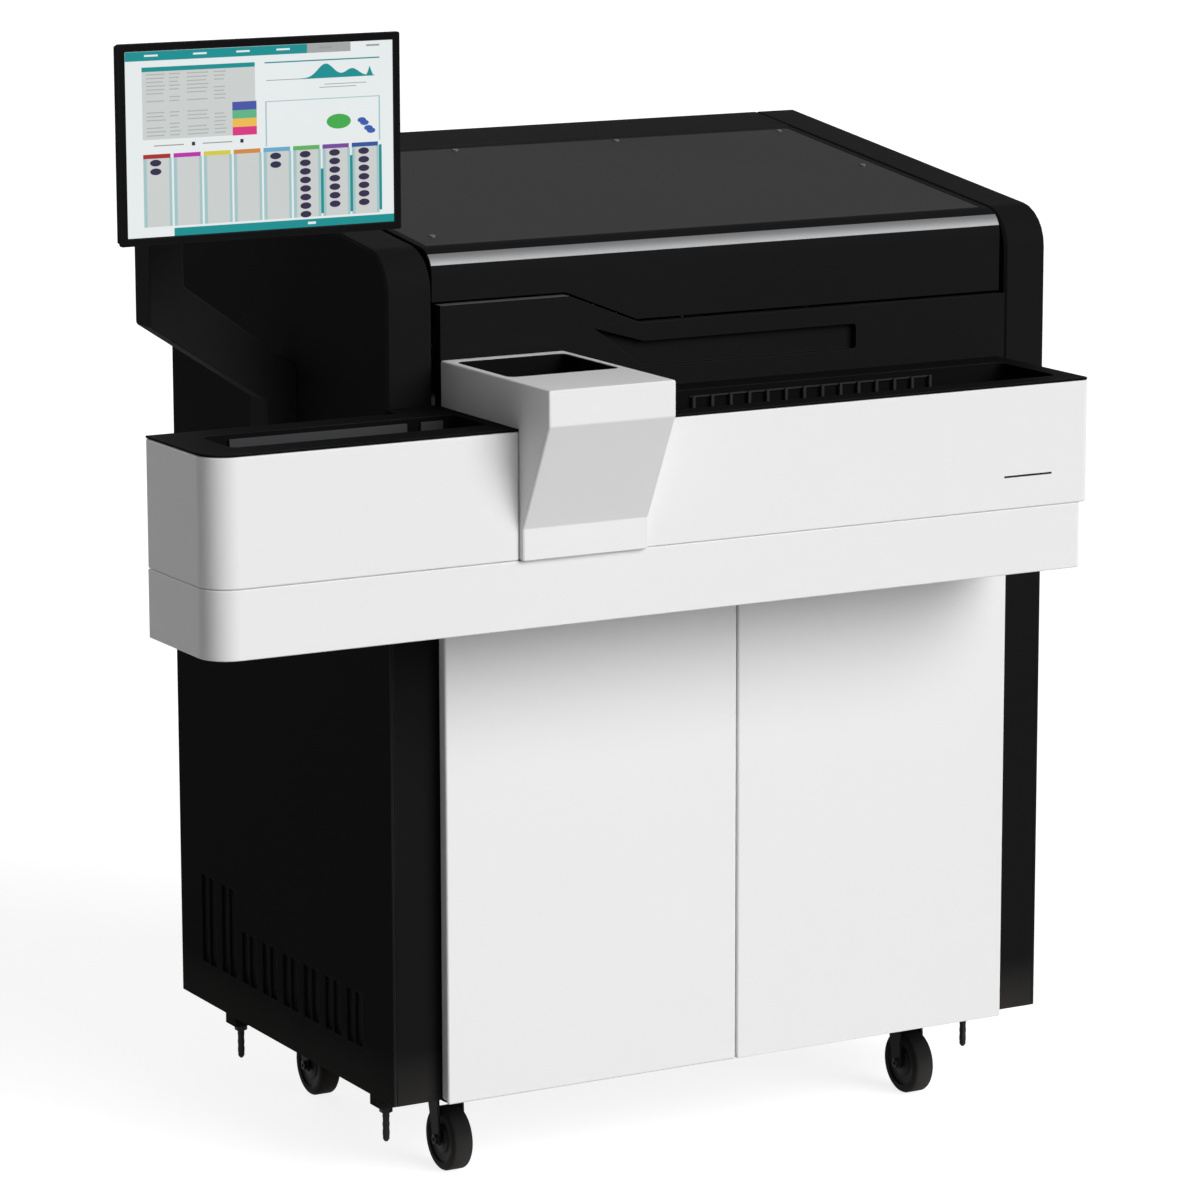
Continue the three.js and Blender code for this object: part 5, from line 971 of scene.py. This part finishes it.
corners = [(x, box_low.y, z) for x in (box_low.x + BOX_SCREW_INSET, box_high.x - BOX_SCREW_INSET)
           for z in (box_low.z + BOX_SCREW_INSET, box_high.z - BOX_SCREW_INSET)]
set_out(model_screw(SCREW_RADIUS), "box_screws", corners, black_screw, "body", (0, -1, 0))

# Casters
# Four swivel casters: a black coated fork on a round head, and a solid black rubber tyre on a dished
# plastic hub, turning on a bolt through both cheeks.
TYRE_SHOULDER = 0.0030
TYRE_DEPTH = 0.0095
CHEEK_OUTSIDE = 0.0165
BOLT_RADIUS = 0.0052
FORK_EDGE = 0.0007
# From the tread inwards: the rounded tyre wall, the sunk dish of the hub and the raised boss
TYRE_STEPS = [
    (0.0007, 0.0014), (0.0012, 0.0010), (0.0018, 0.0006), (0.0058, 0), (0.0006, -0.0022), (0.0090, -0.0006),
    (0.0012, 0.0016), (0.0060, 0), (0.0010, 0.0006),
]
rubber = finish("Black rubber", (0.0120, 0.0120, 0.0120), (0.0175, 0.0175, 0.017), 0.7, 0.08, 0.3, grain=700,
                specular=0.03, dust=0.05)
hub_plastic = finish("Hub plastic", (0.013, 0.013, 0.0135), (0.018, 0.018, 0.0185), 0.45, 0.06, 0.15,
                     specular=0.05)
fork_coat = finish("Fork coat", (0.013, 0.0132, 0.0136), (0.018, 0.018, 0.0185), 0.42, 0.06, 0.15,
                   specular=0.03, wear_and_highlight=EDGE_WEAR_AND_HIGHLIGHT, wear_and_highlight_share=0.6)
STANDS = ("front_left", "front_right", "rear_left", "rear_right")
for stand in STANDS:
    fork = "caster_fork_" + stand
    wheel_node = "caster_wheel_" + stand
    rounded(fork, fork_coat, FORK_EDGE, smooth=30)
    low, high, hub = place_of(wheel_node)
    wheel_radius = (high.z - low.z) / 2
    wheel = add_rod(wheel_radius, high.x - low.x - 2 * TYRE_SHOULDER, hub, along="X", sides=72)
    step_faces(wheel, lambda face: abs(face.normal.x) > SQUARE_ON, TYRE_STEPS)
    soften(wheel, SMALL_EDGE, smooth=32)
    hand_over(wheel, "wheel_" + stand, rubber, wheel_node)
    refinish(wheel, hub_plastic, lambda face: (face.center.yz - hub.yz).length < wheel_radius - TYRE_DEPTH)
    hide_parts(wheel_node)
    for side, word in ((-1, "left"), (1, "right")):
        place = hub + Vector((side * CHEEK_OUTSIDE, 0, 0))
        set_out(model_screw(BOLT_RADIUS), f"axle_bolt_{stand}_{word}", [place], black_screw,
                fork, (side, 0, 0))

# Levelling studs
# Four threaded steel studs, blackened, screw through brackets under the cabinet. A hexagon nut with a
# washer locks each one, and its tip is turned down to a blunt point.
THREAD_PITCH = 0.00125
THREAD_DEPTH_SHARE = 0.93
NUT_RADIUS = 0.0075
NUT_HEIGHT = 0.0060
NUT_STEPS = [(0.0009, 0.0004)]
WASHER_RADIUS = 0.0085
WASHER_HEIGHT = 0.0014
TIP_LENGTH = 0.003
TIP_SHARE = 0.45
STUD_SIDES = 16
BRACKET_FOOT = 0.083


def cut_edges(piece, along, least, cuts):
    """Subdivides the edges that run further than the least length along X, Y or Z."""
    axis = "XYZ".index(along)
    points = piece.data.vertices
    pick(piece, "EDGE", lambda edge: abs(
        points[edge.vertices[0]].co[axis] - points[edge.vertices[1]].co[axis]) > least)
    bpy.ops.mesh.subdivide(number_cuts=cuts)
    enter("OBJECT")


black_steel = finish("Blackened steel", (0.016, 0.016, 0.017), (0.030, 0.029, 0.028), 0.45, 0.08, 0.12,
                     grain=2600, specular=0.08, metallic=0.3)
nuts = []
for stand in STANDS:
    node = "levelling_stud_" + stand
    low, high, middle = place_of(node)
    radius = (high.x - low.x) / 2
    length = high.z - low.z
    stud = add_rod(radius, length, middle, sides=STUD_SIDES)
    cut_edges(stud, "Z", length / 2, 2 * round(length / THREAD_PITCH) - 1)
    for vertex in stud.data.vertices:
        ring = round((vertex.co.z - low.z) / (THREAD_PITCH / 2))
        share = THREAD_DEPTH_SHARE if ring % 2 else 1
        share *= min(1, TIP_SHARE + (1 - TIP_SHARE) * (vertex.co.z - low.z) / TIP_LENGTH)
        vertex.co.x = middle.x + (vertex.co.x - middle.x) * share
        vertex.co.y = middle.y + (vertex.co.y - middle.y) * share
    hand_over(stud, "threaded_stud_" + stand, black_steel, node)
    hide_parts(node)
    foot = BRACKET_FOOT - WASHER_HEIGHT
    washer = add_rod(WASHER_RADIUS, WASHER_HEIGHT, (middle.x, middle.y, foot + WASHER_HEIGHT / 2), sides=32)
    nuts.append(soften(washer, SMALL_EDGE))
    nut = add_rod(NUT_RADIUS, NUT_HEIGHT, (middle.x, middle.y, foot - NUT_HEIGHT / 2), sides=6)
    step_faces(nut, lambda face: abs(face.normal.z) > SQUARE_ON, NUT_STEPS)
    nuts.append(soften(nut, SMALL_EDGE))
hand_over(join_pieces(nuts), "stud_nuts", black_steel, "body")

# Monitor bracket and arm
# A cranked beam bolted to the left side carries a post; a short arm swings on the post and ends in the
# head that the monitor turns and tilts on. All are coated in black like the mouldings, but lighter: painted
# light that stands in for the light which the monitor's shadow takes from them.
BRACKET_EDGE = 0.0016
# Painted light: a lighter black than the mouldings', against the shadow the monitor casts on the bracket.
BRACKET_BLACK_LIT = ((0.0165, 0.0167, 0.0172), (0.0185, 0.0187, 0.0192))
bracket_coat_lit = finish("Bracket coat, painted light", *BRACKET_BLACK_LIT, 0.62, 0.05, 0.2,
                      specular=BLACK_GLOSS, wear_and_highlight=EDGE_WEAR_AND_HIGHLIGHT, wear_and_highlight_share=0.4)
for node in ("monitor_bracket", "monitor_arm", "monitor_head"):
    rounded(node, bracket_coat_lit, BRACKET_EDGE)

# Monitor
# A flat monitor with a slim black bezel and a ribbed rear shell. Its lit screen shows a plain work list:
# bars, a chart, a colour key and eight rack columns, all without lettering.
BEZEL_EDGE = 0.0008
SCREEN_BLACK = ((0.01, 0.01, 0.01), (0.012, 0.012, 0.012))
SCREEN_LIGHT = 0.92
DIM_SHARE = 0.94
TILE_LIFT = 0.00012
SCREEN_WHITE = (0.88, 0.92, 0.93)
TEAL = (0.006, 0.30, 0.31)
PALE_TEAL = (0.40, 0.61, 0.62)
PALE_GREY = (0.655, 0.685, 0.675)
TAB_GREY = (0.40, 0.42, 0.415)
LIST_GREY = (0.47, 0.48, 0.485)
MID_GREY = (0.36, 0.37, 0.38)
DARK_MARK = (0.035, 0.025, 0.075)
KEY_GREEN = (0.06, 0.44, 0.08)
KEY_BLUE = (0.05, 0.12, 0.45)
KEY_COLOURS = ((0.07, 0.10, 0.42), (0.13, 0.50, 0.26), (0.92, 0.55, 0.09), (0.76, 0.04, 0.24))
COLUMN_COLOURS = (
    (0.42, 0.03, 0.03), (0.55, 0.03, 0.45), (0.72, 0.66, 0.06), (0.70, 0.28, 0.06),
    (0.15, 0.45, 0.66), (0.13, 0.48, 0.13), (0.20, 0.07, 0.36), (0.03, 0.10, 0.35),
)
COLUMN_MARKS = (2, 0, 0, 0, 2, 8, 7, 7)
KEY_TOP = 0.294
KEY_PITCH = 0.0455
LIST_COLUMNS = ((0.075, 0.145), (0.16, 0.20), (0.225, 0.305), (0.325, 0.37))
LIST_TOP = 0.122
LIST_PITCH = 0.0205
LIST_ROWS = 17
LIST_LINE = 0.006
LIST_RAG = 0.004
EMPTY_ROWS = (8, 9)
LIST_LEFT, LIST_RIGHT = 0.06, 0.478
CARD_LEFT, CARD_RIGHT = 0.515, 0.95
CARD_LINE = 0.005
CHART_POINTS = 47
CHART_BASE = 0.0006
CHART_SWELLS = ((0.745, 0.042, 0.0142), (0.845, 0.034, 0.0082), (0.912, 0.007, 0.0095))
COLUMN_START = 0.06
COLUMN_PITCH = 0.1115
COLUMN_TOP = 0.576
COLUMN_FOOT = 0.945
MARK_PITCH = 0.047
MARK_SQUASH = 0.55
bezel_plastic = finish("Bezel plastic", (0.0062, 0.0063, 0.0067), (0.0078, 0.0079, 0.0083), 0.5, 0.05, 0.12,
                       specular=BLACK_GLOSS, wear_and_highlight=EDGE_WEAR_AND_HIGHLIGHT, wear_and_highlight_share=0.4)
for node in ("monitor_housing", "monitor_bezel"):
    rounded(node, bezel_plastic, BEZEL_EDGE)
screen_low, screen_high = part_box("monitor_screen")
screen_size = screen_high - screen_low
picture_parts = []
glows = {}


def lit(colour):
    """A lit screen colour, a little uneven like a real panel, made the first time the colour is used."""
    if colour in glows:
        return glows[colour]
    material = finish(f"Lit colour {len(glows) + 1}", *SCREEN_BLACK, 0.35, 0.03, 0.02, specular=0.02)
    tree = material.node_tree
    texture = next(node for node in tree.nodes if node.type == "GROUP")
    dimmer = tuple(part * DIM_SHARE for part in colour)
    uneven = mix_colour(tree, texture.outputs["Clouds"], colour, dimmer)
    feed(tree, tree.nodes["Principled BSDF"], Emission_Color=uneven, Emission_Strength=SCREEN_LIGHT)
    glows[colour] = material
    return material


def on_screen(across, down, lift):
    """A point in front of the screen, by its share of the width and of the height from the top."""
    return Vector((screen_low.x + screen_size.x * across, screen_low.y - TILE_LIFT * lift,
                   screen_high.z - screen_size.z * down))


def tile(left, top, right, bottom, colour, lift=1):
    """A flat lit field of the picture between two corners, given in shares of the screen."""
    field = add_block(on_screen(left, bottom, lift), on_screen(right, top, -1))
    field.data.materials.append(lit(colour))
    picture_parts.append(field)
    return field


def mark(across, down, width, colour, lift=2):
    """A small lit oval of the picture."""
    centre = on_screen(across, down, (lift - 1) / 2)
    oval = add_rod(width / 2, TILE_LIFT * (lift + 1), centre, along="Y", sides=16)
    enter("EDIT")
    bpy.ops.mesh.select_all(action="SELECT")
    bpy.ops.transform.resize(value=(1, 1, MARK_SQUASH))
    enter("OBJECT")
    oval.data.materials.append(lit(colour))
    picture_parts.append(oval)


nodes["monitor_screen"].material_slots[0].material = lit(SCREEN_WHITE)
# Bars along the top and the bottom, with short marks on them
tile(0, 0, 0.675, 0.05, TEAL)
tile(0.675, 0, 0.84, 0.05, TAB_GREY)
for start in (0.07, 0.25, 0.41, 0.56, 0.72, 0.9):
    tile(start, 0.018, start + 0.05, 0.028, SCREEN_WHITE if start < 0.6 else MID_GREY, lift=2)
tile(0.17, 0.957, 1, 1, TEAL)
tile(0.67, 0.972, 0.70, 0.985, SCREEN_WHITE, lift=2)
# A list of plain rows with a colour key, and a legend below it
tile(LIST_LEFT, 0.109, LIST_RIGHT, 0.474, PALE_GREY)
tile(LIST_LEFT, 0.085, LIST_RIGHT, 0.109, TEAL)
for row in range(LIST_ROWS):
    top = LIST_TOP + row * LIST_PITCH
    for start, end in LIST_COLUMNS:
        if row not in EMPTY_ROWS and (row + round(start * 100)) % 7:
            tile(start, top, end - LIST_RAG * (row % 3), top + LIST_LINE, LIST_GREY, lift=2)
for row, colour in enumerate(KEY_COLOURS):
    tile(0.392, KEY_TOP + row * KEY_PITCH, 0.482, KEY_TOP + (row + 1) * KEY_PITCH, colour, lift=3)
for start in (0.10, 0.28):
    tile(start, 0.505, start + 0.11, 0.511, MID_GREY)
    tile(start + 0.14, 0.497, start + 0.152, 0.517, DARK_MARK)
# Two cards on the right: one for the chart, and a framed one with coloured ovals
tile(CARD_LEFT, 0.088, CARD_RIGHT, 0.095, TEAL)
tile(CARD_LEFT, 0.095, CARD_RIGHT, 0.27, SCREEN_WHITE)
tile(CARD_LEFT, 0.300, CARD_RIGHT, 0.305, PALE_TEAL)
for start in (CARD_LEFT, CARD_RIGHT - CARD_LINE):
    tile(start, 0.305, start + CARD_LINE, 0.545, PALE_TEAL)
for start, end, top in ((0.52, 0.64, 0.186), (0.74, 0.90, 0.222), (0.72, 0.86, 0.238)):
    tile(start, top, end, top + 0.004, MID_GREY, lift=2)
mark(0.792, 0.43, 0.028, KEY_GREEN)
for across, down in ((0.88, 0.43), (0.89, 0.445), (0.905, 0.475), (0.915, 0.49)):
    mark(across, down, 0.010, KEY_BLUE)
# The chart's field, its upper edge drawn up into three swells
chart = tile(0.635, 0.10, 0.93, 0.19, TEAL, lift=2)
cut_edges(chart, "X", 0.01, CHART_POINTS)
chart_foot = min(vertex.co.z for vertex in chart.data.vertices)
for vertex in chart.data.vertices:
    if vertex.co.z > chart_foot + CHART_BASE:
        across = (vertex.co.x - screen_low.x) / screen_size.x
        vertex.co.z = chart_foot + CHART_BASE + sum(
            height * math.exp(-((across - place) / spread) ** 2) for place, spread, height in CHART_SWELLS)
# Eight rack columns with a coloured head each, their tube marks and three level bars
for column, (colour, marks) in enumerate(zip(COLUMN_COLOURS, COLUMN_MARKS)):
    start = COLUMN_START + COLUMN_PITCH * column
    tile(start, 0.553, start + 0.100, COLUMN_TOP, colour, lift=2)
    tile(start, COLUMN_TOP, start + 0.104, COLUMN_FOOT, PALE_TEAL)
    tile(start + 0.012, COLUMN_TOP, start + 0.094, COLUMN_FOOT, PALE_GREY, lift=2)
    for row in range(marks):
        mark(start + 0.045, 0.60 + MARK_PITCH * row, 0.0125, DARK_MARK, lift=3)
for column, top in ((5, 0.684), (6, 0.62), (7, 0.57)):
    start = COLUMN_START + COLUMN_PITCH * column + 0.104
    tile(start, top, start + 0.010, 0.93, TEAL, lift=2)
picture = join_pieces(picture_parts)
picture.name = "screen_picture"
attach(picture, "monitor")
